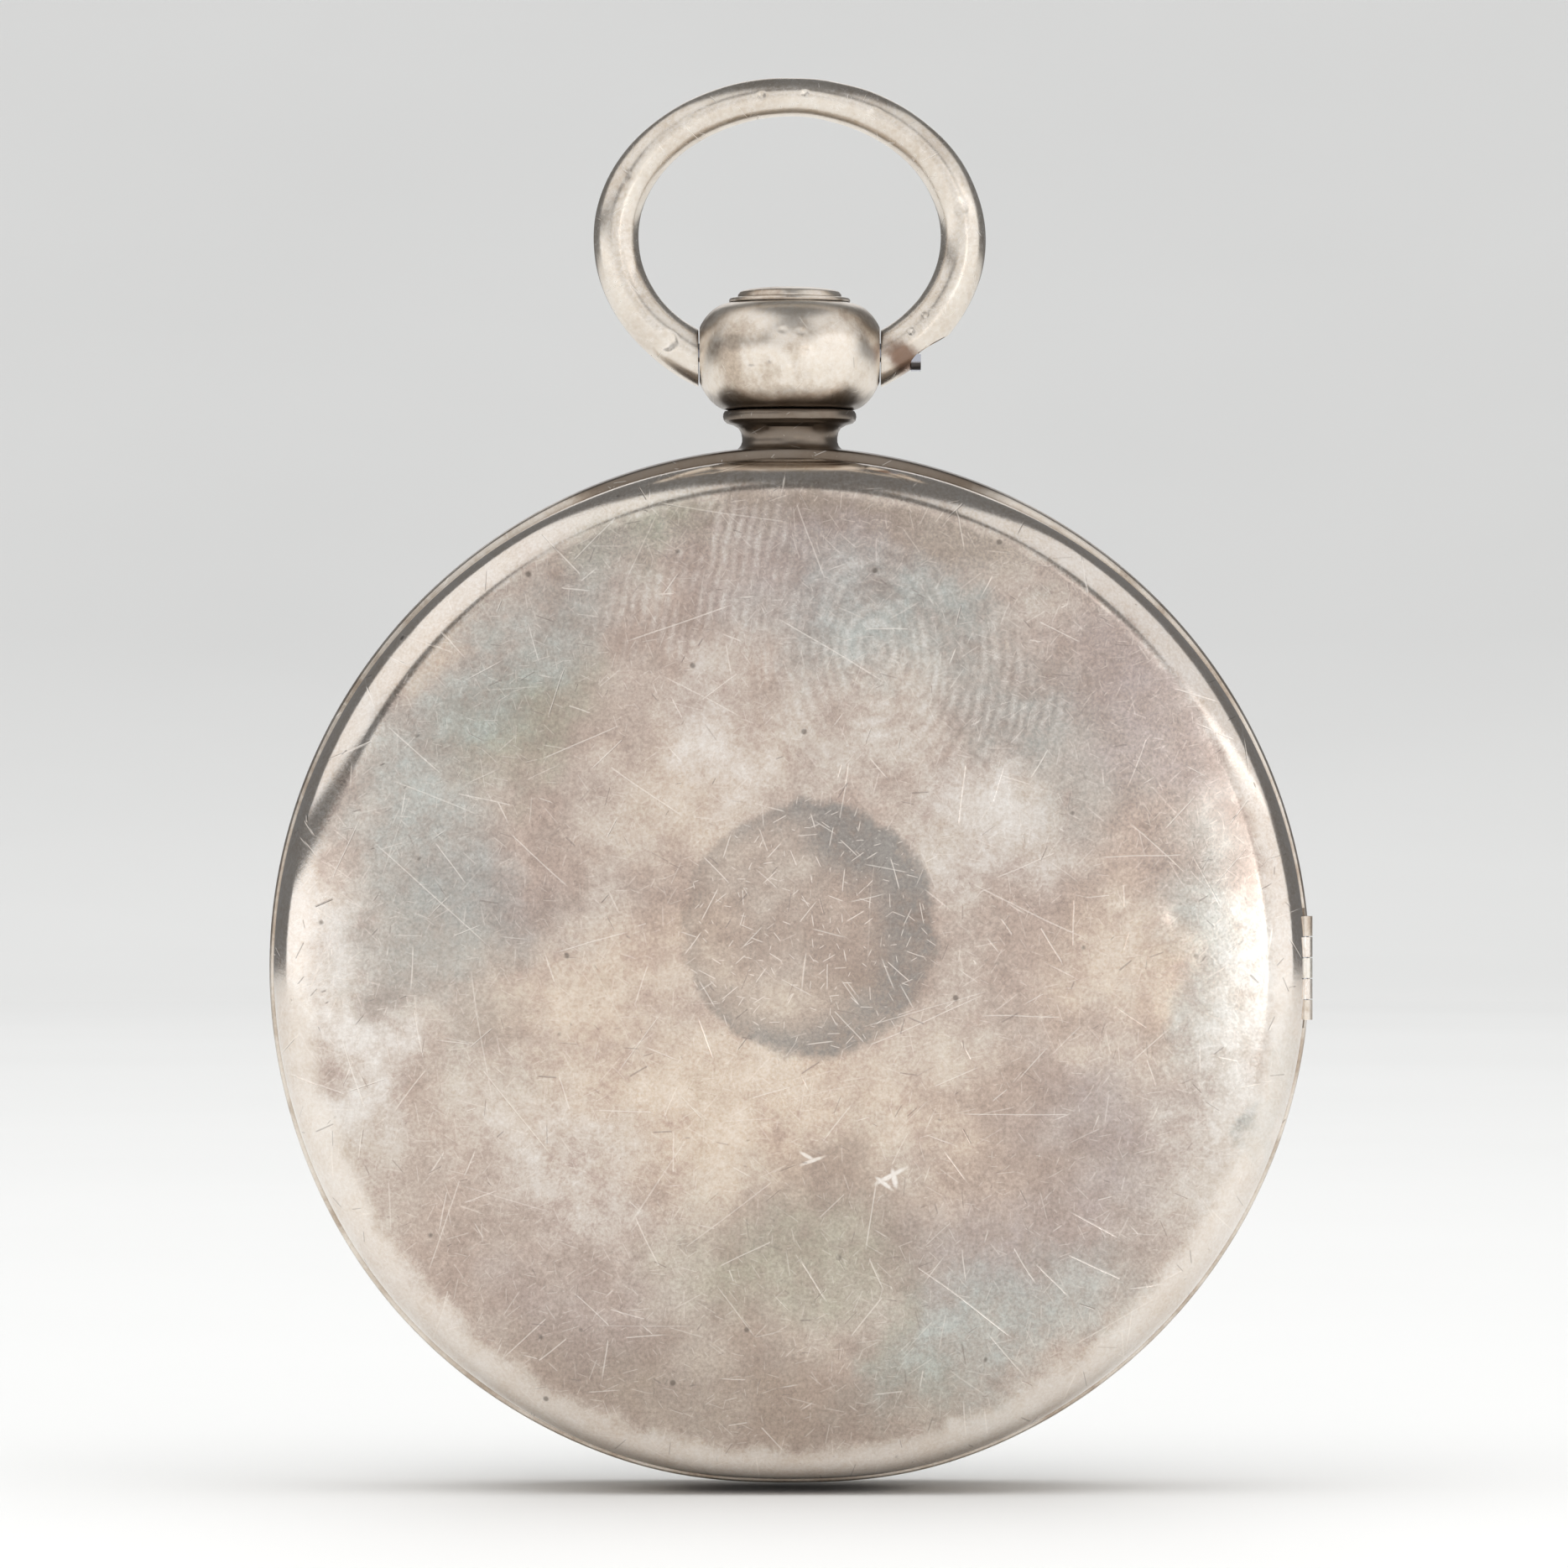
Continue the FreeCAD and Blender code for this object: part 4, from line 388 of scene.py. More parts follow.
def enamel():
    """White fired enamel, a little uneven, with rare specks."""
    sh = Shader("enamel", (0.86, 0.85, 0.81), 0.0, 0.12, IOR=1.55)
    cloud = sh.noise(0.2, 4.0, 0.6)
    specks = sh.spread(sh.noise(3.0, 2.0, 0.5), 0.74, 0.78)
    color = sh.blend(sh.spread(cloud, 0.4, 0.7), (0.87, 0.86, 0.82), (0.80, 0.78, 0.72))
    color = sh.blend(sh.math("MULTIPLY", specks, 0.5), color, (0.35, 0.30, 0.24))
    return sh.finish(color, sh.spread(cloud, 0.3, 0.7, 0.08, 0.18), sh.bump(cloud, 0.1, 0.05))


def crystal_glass():
    """Clear glass with hairline marks."""
    sh = Shader("glass", (0.97, 0.985, 0.98), 0.0, 0.02, IOR=1.50, Transmission_Weight=1.0)
    marks = sh.math("MAXIMUM", sh.strokes(2.0, 1.8, 0.03, 0.5), sh.strokes(5.0, 4.6, 0.03, 0.45, 9.0, 0.4))
    return sh.finish(None, sh.math("ADD", 0.015, sh.math("MULTIPLY", marks, 0.2)),
                     sh.bump(marks, 0.08, 0.01))


def ruby():
    sh = Shader("ruby", (0.55, 0.02, 0.06), 0.0, 0.08, IOR=1.76, Coat_Weight=0.3)
    return sh.finish(sh.blend(sh.noise(2.0), (0.42, 0.012, 0.04), (0.72, 0.05, 0.11)),
                     sh.spread(sh.noise(6.0), 0.3, 0.7, 0.04, 0.14))


def floor_paint():
    sh = Shader("floor", (0.80, 0.80, 0.79), 0.0, 0.65)
    cloud = sh.noise(0.012, 3.0, 0.5)
    return sh.finish(sh.blend(cloud, (0.79, 0.79, 0.78), (0.83, 0.83, 0.82)))


MATERIALS = {
    "silver_back": silver_back(),
    "silver_band": silver("silver_band", (0.79, 0.72, 0.64), 0.31, (0.42, 0.33, 0.25), 0.75, 3.0,
                          (-13.0, -17.5)),
    "silver_bow": silver("silver_bow", (0.75, 0.69, 0.62), 0.25, (0.56, 0.48, 0.405), 0.5, 11.0,
                         rust=(5.3, 28.1, 0.95, 0.62, -40)),
    "silver_inner": silver("silver_inner", (0.84, 0.80, 0.74), 0.16, (0.66, 0.56, 0.42), 0.5, 7.0),
    "glass": crystal_glass(),
    "enamel": enamel(),
    "blued_steel": turned_metal("blued_steel", (0.016, 0.030, 0.125), 0.24, (0.05, 0.025, 0.085)),
    "steel": turned_metal("steel", (0.58, 0.58, 0.60), 0.20, (0.34, 0.31, 0.29)),
    "gilt": frosted("gilt", (0.86, 0.64, 0.30), 0.34, (0.66, 0.46, 0.22)),
    "brass": turned_metal("brass", (0.82, 0.62, 0.28), 0.24, (0.55, 0.38, 0.18)),
    "ruby": ruby(),
    "screw_steel": turned_metal("screw_steel", (0.42, 0.43, 0.48), 0.18, (0.24, 0.21, 0.22), 3.0),
    "spring_blue": turned_metal("spring_blue", (0.07, 0.13, 0.34), 0.25, (0.10, 0.08, 0.22)),
}
NODE_SLOT = {part["node"]: part["material_slot"] for part in frame["record"]["subparts"]}
for node, thing in frame["nodes"].items():
    thing.data.materials.clear()
    thing.data.materials.append(MATERIALS[NODE_SLOT[node]])


# ------------------------------------------------------------------ mesh helpers
def piece(name, points, faces, slot, body, replaces=(), smooth=True, sharp=35.0):
    """A new mesh, in millimetres, that rides on a body."""
    mesh = bpy.data.meshes.new(name)
    mesh.from_pydata([tuple(point) for point in np.asarray(points, float) * MM], [], faces)
    mesh.validate()
    mesh.update()
    thing = bpy.data.objects.new(name, mesh)
    bpy.context.scene.collection.objects.link(thing)
    tidy_normals(thing, smooth, sharp)
    mesh.materials.append(MATERIALS[slot])
    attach(thing, body)
    if replaces:
        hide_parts(*replaces)
    return thing


def tidy_normals(thing, smooth=True, sharp=35.0):
    shape = bmesh.new()
    shape.from_mesh(thing.data)
    bmesh.ops.recalc_face_normals(shape, faces=shape.faces)
    limit = math.radians(sharp)
    for face in shape.faces:
        face.smooth = smooth
    for edge in shape.edges:
        edge.smooth = len(edge.link_faces) != 2 or edge.calc_face_angle(0.0) < limit
    shape.to_mesh(thing.data)
    shape.free()


def spaced(path, step):
    """Points along a polyline, at an even step."""
    out = [path[0]]
    for start, end in zip(path, path[1:]):
        count = max(1, int(round(math.dist(start, end) / step)))
        for index in range(1, count + 1):
            share = index / count
            out.append(tuple(a + (b - a) * share for a, b in zip(start, end)))
    return out


def arc(centre, radius, start, end, count):
    return [(centre[0] + radius * math.cos(math.radians(start + (end - start) * i / count)),
             centre[1] + radius * math.sin(math.radians(start + (end - start) * i / count)))
            for i in range(count + 1)]


def lathe(section, count, closed):
    """Turn (radius, depth) points about the case axis. Depth is along +Y."""
    angles = np.linspace(0, 2 * math.pi, count, endpoint=False)
    points, rings = [], []
    for radius, depth in section:
        if radius < 1e-6:
            rings.append([len(points)] * count)
            points.append((0.0, depth, CASE_Z))
            continue
        rings.append(list(range(len(points), len(points) + count)))
        points += [(-radius * math.cos(a), depth, CASE_Z + radius * math.sin(a)) for a in angles]
    faces = []
    pairs = list(zip(rings, rings[1:])) + ([(rings[-1], rings[0])] if closed else [])
    for low, high in pairs:
        for i in range(count):
            j = (i + 1) % count
            face = [low[i], low[j], high[j], high[i]]
            face = [v for k, v in enumerate(face) if v not in face[:k]]
            if len(face) > 2:
                faces.append(face)
    return np.array(points), faces


def tube(start, length, radius, axis="z", count=40):
    """Closed round bar along one row axis."""
    angles = np.linspace(0, 2 * math.pi, count, endpoint=False)
    ring = [(math.cos(a) * radius, math.sin(a) * radius) for a in angles]
    order = {"x": lambda u, v, w: (w, u, v), "y": lambda u, v, w: (u, w, v),
             "z": lambda u, v, w: (u, v, w)}[axis]
    points = [tuple(s + o for s, o in zip(start, order(u, v, w)))
              for w in (0.0, length) for u, v in ring]
    faces = [[i, (i + 1) % count, count + (i + 1) % count, count + i] for i in range(count)]
    faces += [list(range(count)), list(range(count, 2 * count))]
    return np.array(points), faces


def box_mesh(low, high):
    points = [(x, y, z) for z in (low[2], high[2]) for y in (low[1], high[1]) for x in (low[0], high[0])]
    faces = [[0, 1, 3, 2], [4, 5, 7, 6], [0, 1, 5, 4], [2, 3, 7, 6], [0, 2, 6, 4], [1, 3, 7, 5]]
    return np.array(points), faces


def cut(thing, points, faces):
    """Take a closed shape out of a mesh."""
    mesh = bpy.data.meshes.new("cutter")
    mesh.from_pydata([tuple(point) for point in np.asarray(points) * MM], [], faces)
    tool = bpy.data.objects.new("cutter", mesh)
    bpy.context.scene.collection.objects.link(tool)
    tidy_normals(tool)
    step = thing.modifiers.new("cut", "BOOLEAN")
    step.operation, step.object, step.solver = "DIFFERENCE", tool, "EXACT"
    graph = bpy.context.evaluated_depsgraph_get()
    result = bpy.data.meshes.new_from_object(thing.evaluated_get(graph))
    thing.modifiers.clear()
    thing.data = result
    bpy.data.objects.remove(tool)


def wander(points, seed, size, reach):
    """Smooth irregular offsets for a list of points, from a few random waves."""
    rng = np.random.default_rng(seed)
    total = np.zeros(len(points))
    for _ in range(14):
        wave = rng.normal(size=3) * (2 * math.pi / reach)
        total += np.sin(points @ wave + rng.uniform(0, 2 * math.pi))
    return total * size / math.sqrt(14)


# ------------------------------------------------------------------ back cover
def back_section():
    """Outer skin from rim to middle, then the inner skin back to the rim."""
    low, corner = PART_Y + 0.03, (21.47, PART_Y + 0.03)
    skin = spaced([(23.0, low), (23.67, low)], 0.12)
    skin += arc(corner, 2.2, 0, 83, 46)[1:]
    skin += dome((21.47 + 2.2 * math.cos(math.radians(83)), low + 2.2 * math.sin(math.radians(83))),
                 (5.8, 5.98), 62)
    skin += spaced([(5.8, 5.98), (0.0, 5.98)], 0.35)[1:]
    under = [(0.0, 5.48), (5.8, 5.48)]
    rim = (21.47 + 1.7 * math.cos(math.radians(83)), low + 1.7 * math.sin(math.radians(83)))
    under += dome((5.8, 5.48), rim, 40)
    under += arc(corner, 1.7, 83, 25.8, 16)[1:]
    return skin, under


def dome(start, end, count):
    """Points on the shallow curve between two points of the back, without the first one."""
    flat, far = (end, start) if end[0] < start[0] else (start, end)
    out = []
    for index in range(1, count + 1):
        radius = start[0] + (end[0] - start[0]) * index / count
        share = (radius - flat[0]) / (far[0] - flat[0])
        out.append((radius, flat[1] + (far[1] - flat[1]) * share ** 2))
    return out


DINGS = (  # small dents in the back: across, up, radius, depth
    (0.9, -8.9, 0.35, 0.045), (4.7, -9.4, 0.32, 0.05), (17.6, 2.4, 0.45, 0.03),
    (-17.6, 15.2, 0.40, 0.06), (-21.4, -7.4, 0.45, 0.05), (11.5, 17.6, 0.30, 0.04),
    (-6.0, -13.5, 1.6, 0.03), (9.5, 6.5, 2.2, 0.03), (-9.0, 8.5, 2.6, 0.03), (7.0, -4.5, 1.9, 0.025),
)


def hinge_relief(ring, level):
    """Round hollow along the hinge axis, so that a ring clears the knuckles."""
    cut(ring, *tube((HINGE_X, level, CASE_Z - HINGE_HALF - RELIEF_OVER),
                    2 * (HINGE_HALF + RELIEF_OVER), RELIEF_R, "z", 48))


def knuckle_pair(name, chosen, count, level, web_low, web_high, slot, body):
    """Hinge knuckles with their webs, as solid pieces."""
    share = 2 * HINGE_HALF / count
    for index in chosen:
        low = CASE_Z - HINGE_HALF + index * share + KNUCKLE_GAP / 2
        points, faces = tube((HINGE_X, level, low), share - KNUCKLE_GAP, KNUCKLE_R, "z", 36)
        piece(f"{name}_{index}", points, faces, slot, body)
        points, faces = box_mesh((HINGE_X, web_low, low),
                                 (HINGE_X + 0.4, web_high, low + share - KNUCKLE_GAP))
        piece(f"{name}_web_{index}", points, faces, slot, body)


def outline_wear(points, cover=False):
    """The outline is a little flat at the bottom and full at lower left, and the back sits low."""
    radial = np.hypot(points[:, 0], points[:, 2] - CASE_Z)
    turn = np.degrees(np.arctan2(points[:, 2] - CASE_Z, -points[:, 0])) % 360
    grow = 0.10 * np.exp(-((turn - 222) / 20) ** 2) - 0.24 * np.exp(-((turn - 270) / 11) ** 2)
    if cover:
        grow = grow - 0.26 * np.exp(-((turn - 90) / 42) ** 2) - 0.05 * np.exp(-((turn - 225) / 25) ** 2)
    share = 1 + grow * np.clip((radial - 19.0) / 4.0, 0, 1) / np.maximum(radial, 1.0)
    points[:, 0] *= share
    points[:, 2] = CASE_Z + (points[:, 2] - CASE_Z) * share


def case_band():
    """Case middle: bulged band with a bead along each parting edge, seats and hinge knuckles."""
    edge, half, lip = 23.75, PART_Y, PART_Y + 0.42
    side = [(edge - 0.12, -half), (edge + 0.02, -half + 0.05), (edge + 0.10, -half + 0.18),
            (edge + 0.10, -half + 0.32), (edge + 0.02, -half + 0.44), (edge - 0.02, -half + 0.50),
            (edge + 0.04, -half + 0.56)]
    bulge = [(edge + 0.05 + 0.20 * math.cos(math.radians(90 * h)), 2.2 * h)
             for h in np.linspace(-0.96, 0.96, 40)]
    outer = side + bulge + [(radius, -height) for radius, height in reversed(side)]
    inner = [(22.9, half), (22.9, lip - 0.05), (22.85, lip), (21.65, lip), (21.6, lip - 0.05),
             (21.6, half - 0.6), (20.9, half - 0.6), (20.9, -0.1), (19.7, -0.1), (19.7, -0.7),
             (20.35, -0.7), (20.35, -lip), (22.85, -lip), (22.9, -lip + 0.05), (22.9, -half)]
    points, faces = lathe(outer + inner, RADIUS_STEPS, True)
    outline_wear(points)
    band = piece("case_band", points, faces, "silver_band", "case", ("case_middle",))
    for level in (half, -half):
        hinge_relief(band, level)
    tidy_normals(band)
    knuckle_pair("case_knuckle", (0, 4), 5, half, half - 0.75, half - 0.25, "silver_band", "case")
    knuckle_pair("case_front_knuckle", (0, 2), 3, -half, -half + 0.25, -half + 0.75, "silver_band", "case")


def back_cover():
    """Thin domed back with its small dents, hollowed for the hinge, and its two knuckles."""
    skin, under = back_section()
    points, faces = lathe(skin + under, RADIUS_STEPS, True)
    flat = points.copy()
    radial = np.hypot(points[:, 0], points[:, 2] - CASE_Z)
    outer = np.arange(len(points)) < len(lathe(skin, RADIUS_STEPS, False)[0])
    ease = np.clip((23.2 - radial) / 3.0, 0, 1)
    points[:, 1] += ease * wander(flat, 5, 0.012, 16.0) + ease * wander(flat, 9, 0.004, 5.0)
    for across, up, size, depth in DINGS:
        gap = np.hypot(points[:, 0] + across, points[:, 2] - CASE_Z - up) / size
        points[:, 1] -= outer * depth * np.exp(-gap ** 2) * np.clip((points[:, 1] - 3.4) / 0.6, 0, 1)
    outline_wear(points, True)
    cover = piece("back_shell", points, faces, "silver_back", "back", ("back_cover",))
    level = PART_Y
    hinge_relief(cover, level)
    share = 2 * HINGE_HALF / 5
    low = CASE_Z - HINGE_HALF + 2 * share - KNUCKLE_GAP / 2
    cut(cover, *box_mesh((-24.0, level + 0.02, low), (-22.6, level + 0.98, low + share + KNUCKLE_GAP)))
    tidy_normals(cover)
    knuckle_pair("back_knuckle", (1, 3), 5, level, level + 0.1, level + 0.85, "silver_back", "back")


case_band()
back_cover()


# ------------------------------------------------------------------ bezel, crystal and dial
def bezel():
    """Rounded bezel with a fine step around the crystal."""
    low = -PART_Y - 0.03
    skin = [(23.0, low), (23.62, low), (23.70, low - 0.06), (23.72, low - 0.22), (23.66, low - 0.36),
            (23.60, low - 0.42)]
    skin += [(22.55 + 1.06 * math.cos(math.radians(a)), -3.75 - 1.42 * math.sin(math.radians(a)))
             for a in np.linspace(-14, 88, 26)]
    skin += [(22.36, -5.19), (22.30, -5.14), (22.22, -5.14), (22.16, -5.19), (21.75, -5.2), (21.60, -5.14),
             (21.56, -5.02)]
    inside = [(21.56, -4.5), (20.98, -4.5), (20.9, -4.44), (20.9, -3.25), (23.0, -3.25)]
    points, faces = lathe(skin + inside, RADIUS_STEPS, True)
    outline_wear(points)
    ring = piece("bezel_round", points, faces, "silver_band", "bezel", ("bezel_ring",))
    hinge_relief(ring, -PART_Y)
    tidy_normals(ring)
    knuckle_pair("bezel_knuckle", (1,), 3, -PART_Y, -PART_Y - 0.85, -PART_Y - 0.1, "silver_band", "bezel")


def crystal():
    """Domed glass with a softly rolled shoulder."""
    front = [(21.5, -4.5), (21.5, -4.95)]
    front += [(17.2 + 4.28 * math.sin(math.radians(a)), -5.0 - 1.95 * math.cos(math.radians(a)) ** 1.1)
              for a in np.linspace(86, 0, 30)]
    front += [(radius, -6.95) for radius in np.linspace(16.4, 0.0, 18)]
    under = [(radius, -6.15) for radius in np.linspace(0.0, 16.4, 18)]
    under += [(16.9 + 3.8 * math.sin(math.radians(a)), -4.5 - 1.65 * math.cos(math.radians(a)) ** 1.1)
              for a in np.linspace(4, 89, 30)]
    points, faces = lathe(front + under, 256, True)
    glass = piece("crystal_dome", points, faces, "glass", "bezel", ("crystal",))
    glass.visible_shadow = False


class Print:
    """Fired black print: many thin flat strokes gathered into one mesh on a dial."""

    def __init__(self, centre_z, level):
        self.centre_z, self.level, self.points, self.faces = centre_z, level, [], []

    def quad(self, corners):
        """Corners are (right, up) from the dial's centre, seen from the front."""
        base = len(self.points)
        for lift in (0.0, -0.016):
            self.points += [(x, self.level + lift, self.centre_z + z) for x, z in corners]
        self.faces += [[base, base + 1, base + 2, base + 3], [base + 4, base + 5, base + 6, base + 7]]
        self.faces += [[base + i, base + (i + 1) % 4, base + 4 + (i + 1) % 4, base + 4 + i]
                       for i in range(4)]

    def stroke(self, start, end, wide):
        (xa, za), (xb, zb) = start, end
        long = math.hypot(xb - xa, zb - za)
        dx, dz = -(zb - za) / long * wide / 2, (xb - xa) / long * wide / 2
        self.quad([(xa + dx, za + dz), (xa - dx, za - dz), (xb - dx, zb - dz), (xb + dx, zb + dz)])

    def ring(self, radius, wide, count=180):
        spots = [(radius * math.cos(a), radius * math.sin(a))
                 for a in np.linspace(0, 2 * math.pi, count + 1)]
        for start, end in zip(spots, spots[1:]):
            self.stroke(start, end, wide)

    def ticks(self, count, inner, outer, wide, skip=0):
        for index in range(count):
            if skip and index % skip == 0:
                continue
            a = 2 * math.pi * index / count
            start, end = [(radius * math.sin(a), radius * math.cos(a)) for radius in (inner, outer)]
            self.stroke(start, end, wide)

    def numeral(self, text, hour, inner, tall):
        """Roman numeral standing on the centre of the dial, with thick and thin strokes."""
        widths = {"I": 0.26, "V": 0.62, "X": 0.62}
        total = sum(widths[letter] for letter in text) * tall
        left, a = -total / 2, math.radians(30 * hour)

        def place(x, z):
            out = inner + z
            return (x * math.cos(a) + out * math.sin(a), -x * math.sin(a) + out * math.cos(a))

        for letter in text:
            wide = widths[letter] * tall
            low, high, mid = left + 0.1 * tall, left + wide - 0.1 * tall, left + wide / 2
            if letter == "I":
                self.stroke(place(mid, 0), place(mid, tall), 0.13 * tall)
            elif letter == "V":
                self.stroke(place(low, tall), place(mid, 0), 0.13 * tall)
                self.stroke(place(high, tall), place(mid, 0), 0.035 * tall)
            else:
                self.stroke(place(low, tall), place(high, 0), 0.13 * tall)
                self.stroke(place(high, tall), place(low, 0), 0.035 * tall)
            left += wide
        for level in (0.0, tall):
            self.stroke(place(-total / 2 + 0.01, level), place(total / 2 - 0.01, level), 0.045 * tall)

    def make(self, name):
        return piece(name, self.points, self.faces, "enamel", "case", smooth=False)


def dial_print():
    """Hour numerals and minute track, with a smaller track on the seconds dial over the VI."""
    hours = ("XII", "I", "II", "III", "IIII", "V", None, "VII", "VIII", "IX", "X", "XI")
    main = Print(CASE_Z, DIAL_Y)
    for hour, text in enumerate(hours):
        if text:
            main.numeral(text, hour, 14.1, 3.3)
    main.ring(18.35, 0.07)
    main.ring(19.15, 0.07)
    main.ticks(60, 18.35, 19.15, 0.07, 5)
    main.ticks(12, 18.25, 19.25, 0.24)
    small = Print(CASE_Z - SECONDS_DROP, SECONDS_DIAL_Y)
    small.ring(4.55, 0.05, 120)
    small.ring(3.95, 0.05, 120)
    small.ticks(60, 3.95, 4.55, 0.04)
    small.ticks(12, 3.7, 4.6, 0.10)
    small.ticks(4, 2.7, 4.6, 0.12)
    for thing in (main.make("hour_print"), small.make("seconds_print")):
        thing.data.materials.clear()
        thing.data.materials.append(PRINT_INK)


def print_ink():
    sh = Shader("print_ink", (0.012, 0.011, 0.012), 0.0, 0.28)
    worn = sh.noise(3.0, 4.0, 0.7)
    return sh.finish(sh.blend(sh.spread(worn, 0.5, 0.75), (0.010, 0.010, 0.012), (0.055, 0.050, 0.048)),
                     sh.spread(worn, 0.3, 0.7, 0.2, 0.38))


PRINT_INK = print_ink()
bezel()
crystal()
dial_print()


# ------------------------------------------------------------------ pendant, cap and bow
def upright(section, count):
    """Turn (radius, height) points about the pendant's upright axis."""
    angles = np.linspace(0, 2 * math.pi, count, endpoint=False)
    points, rings = [], []
    for radius, height in section:
        if radius < 1e-6:
            rings.append([len(points)] * count)
            points.append((0.0, 0.0, height))
            continue
        rings.append(list(range(len(points), len(points) + count)))
        points += [(radius * math.cos(a), radius * math.sin(a), height) for a in angles]
    faces = []
    for low, high in zip(rings, rings[1:]):
        for i in range(count):
            j = (i + 1) % count
            face = [low[i], low[j], high[j], high[i]]
            face = [v for k, v in enumerate(face) if v not in face[:k]]
            if len(face) > 2:
                faces.append(face)
    return np.array(points), faces


STAMPS = (  # small dents in the pendant: across, height from the bow screw, size, depth
    (-1.75, -0.60, 0.20, 0.10), (-0.95, -0.55, 0.13, 0.08), (0.10, -0.72, 0.20, 0.06),
    (0.75, -0.15, 0.13, 0.05), (-0.30, 0.85, 0.12, 0.05), (0.55, 0.75, 0.12, 0.05),
    (-2.6, 0.3, 0.3, 0.03), (2.3, -0.9, 0.35, 0.03), (-1.6, -1.15, 0.25, 0.03),
)


def pendant():
    """Squat barrel with flats for the bow, a collar, and a waisted neck flaring into the band."""
    outer = spaced([(0, 2.3), (2.70, 2.3)], 0.3)
    outer += [(2.70 + 1.69 * math.cos(a), (2.3 if a > 0 else 2.66) * math.sin(a))
              for a in np.linspace(math.pi / 2, -math.pi / 2, 72)[1:]]
    outer += [(3.0, -2.70), (3.06, -2.80), (3.08, -2.95), (3.04, -3.12), (2.92, -3.24), (2.6, -3.34),
              (2.36, -3.48), (2.25, -3.66), (2.2, -3.9), (2.2, -4.1), (2.26, -4.28), (2.40, -4.44),
              (2.58, -4.56), (2.66, -4.70), (2.66, -5.0)]
    outline = [(radius, PIVOT_Z + height) for radius, height in outer] + [(0, PIVOT_Z - 5.0)]
    points, faces = upright(outline, 192)
    for across, up, size, depth in STAMPS:
        gap = np.hypot(points[:, 0] + across, points[:, 2] - PIVOT_Z - up) / size
        points[:, 1] -= (points[:, 1] > 1) * depth * np.exp(-gap ** 4)
    points += 0.010 * np.stack([wander(points, seed, 1.0, 4.0) for seed in (21, 22, 23)], axis=1)
    stem = piece("pendant_stem", points, faces, "silver_band", "case", ("pendant",))
    for side in (-1, 1):
        low, high = sorted((side * 4.15, side * 6.5))
        cut(stem, *box_mesh((low, -6, PIVOT_Z - 2.6), (high, 6, PIVOT_Z + 3)))
    cut(stem, *tube((-5, 0, PIVOT_Z), 10, 0.5, "x"))
    tidy_normals(stem, sharp=28)

    top = PIVOT_Z + 2.3
    edge = [(1.15, top - 0.85), (1.15, top), (2.70, top), (2.78, top + 0.04), (2.80, top + 0.12),
            (2.76, top + 0.20), (2.66, top + 0.23), (2.44, top + 0.24), (2.40, top + 0.27),
            (2.38, top + 0.40), (2.32, top + 0.46)]
    crown = [(2.32 * math.cos(a), top + 0.46 + 0.29 * math.sin(a))
             for a in np.linspace(0.08, math.pi / 2, 18)[:-1]]
    points, faces = upright([(0, top - 0.85)] + edge + crown + [(0, top + 0.75)], 128)
    piece("pendant_cap_dome", points, faces, "silver_band", "case", ("pendant_cap",), sharp=40)


BOW_DINGS = (  # small dents in the bow: across, height, size, depth
    (-5.7, -10.45, 0.42, 0.16), (0.7, 1.0, 0.12, 0.08), (-1.3, 0.9, 0.16, 0.06), (5.6, -10.0, 0.10, 0.08),
    (6.2, -9.2, 0.12, 0.05), (-6.9, -7.2, 0.3, 0.03), (7.9, -4.2, 0.35, 0.03), (-7.6, -2.8, 0.3, 0.03),
    (3.9, 0.0, 0.3, 0.03), (-4.6, -0.3, 0.25, 0.03),
)


def bow():
    """Oval ring swept in rings of points, thickest at its sides, faced off beside the pendant."""
    steps, around = 420, 72
    points, faces = [], []
    centre = np.array((0.0, 0.0, -5.62))
    for index in range(steps + 1):
        share = 2 * index / steps - 1
        angle = math.radians(share * 152)
        at = centre + (8.02 * math.sin(angle), 0, 6.51 * math.cos(angle))
        along = np.array((8.02 * math.cos(angle), 0, -6.51 * math.sin(angle)))
        along /= np.linalg.norm(along)
        out = np.array((along[2], 0, -along[0])) * -1
        radius = 0.91 + 0.155 * math.sin(min(1.0, abs(share)) * math.pi / 2)
        if abs(share) > 0.8:
            radius += 0.135 * 5 * (abs(share) - 0.8)
        worn = 0.05 * math.exp(-(share / 0.16) ** 2)
        for turn in range(around):
            a = 2 * math.pi * turn / around
            reach = radius * (1 - worn * max(0.0, -math.cos(a)))
            points.append(at + out * reach * math.cos(a) + np.array((0, reach * math.sin(a), 0)))
    for index in range(steps):
        for turn in range(around):
            other = (turn + 1) % around
            faces.append([index * around + turn, index * around + other,
                          (index + 1) * around + other, (index + 1) * around + turn])
    faces += [list(range(around)), list(range(steps * around, (steps + 1) * around))]
    points = np.array(points)
    points += 0.016 * np.stack([wander(points, seed, 1.0, 6.0) for seed in (1, 2, 3)], axis=1)
    for across, height, size, depth in BOW_DINGS:
        gap = np.hypot(points[:, 0] + across, points[:, 2] - height) / size
        points[:, 1] -= (points[:, 1] > 0.2) * depth * np.exp(-gap ** 4)
    ring = piece("bow_ring", points, faces, "silver_bow", "bow", ("bow",))
    cut(ring, *box_mesh((-4.215, -2, PIVOT_Z - 3), (4.215, 2, PIVOT_Z + 3)))
    cut(ring, *tube((-9.05, 0, PIVOT_Z), 3.45, 0.86, "x"))
    tidy_normals(ring)


pendant()
bow()


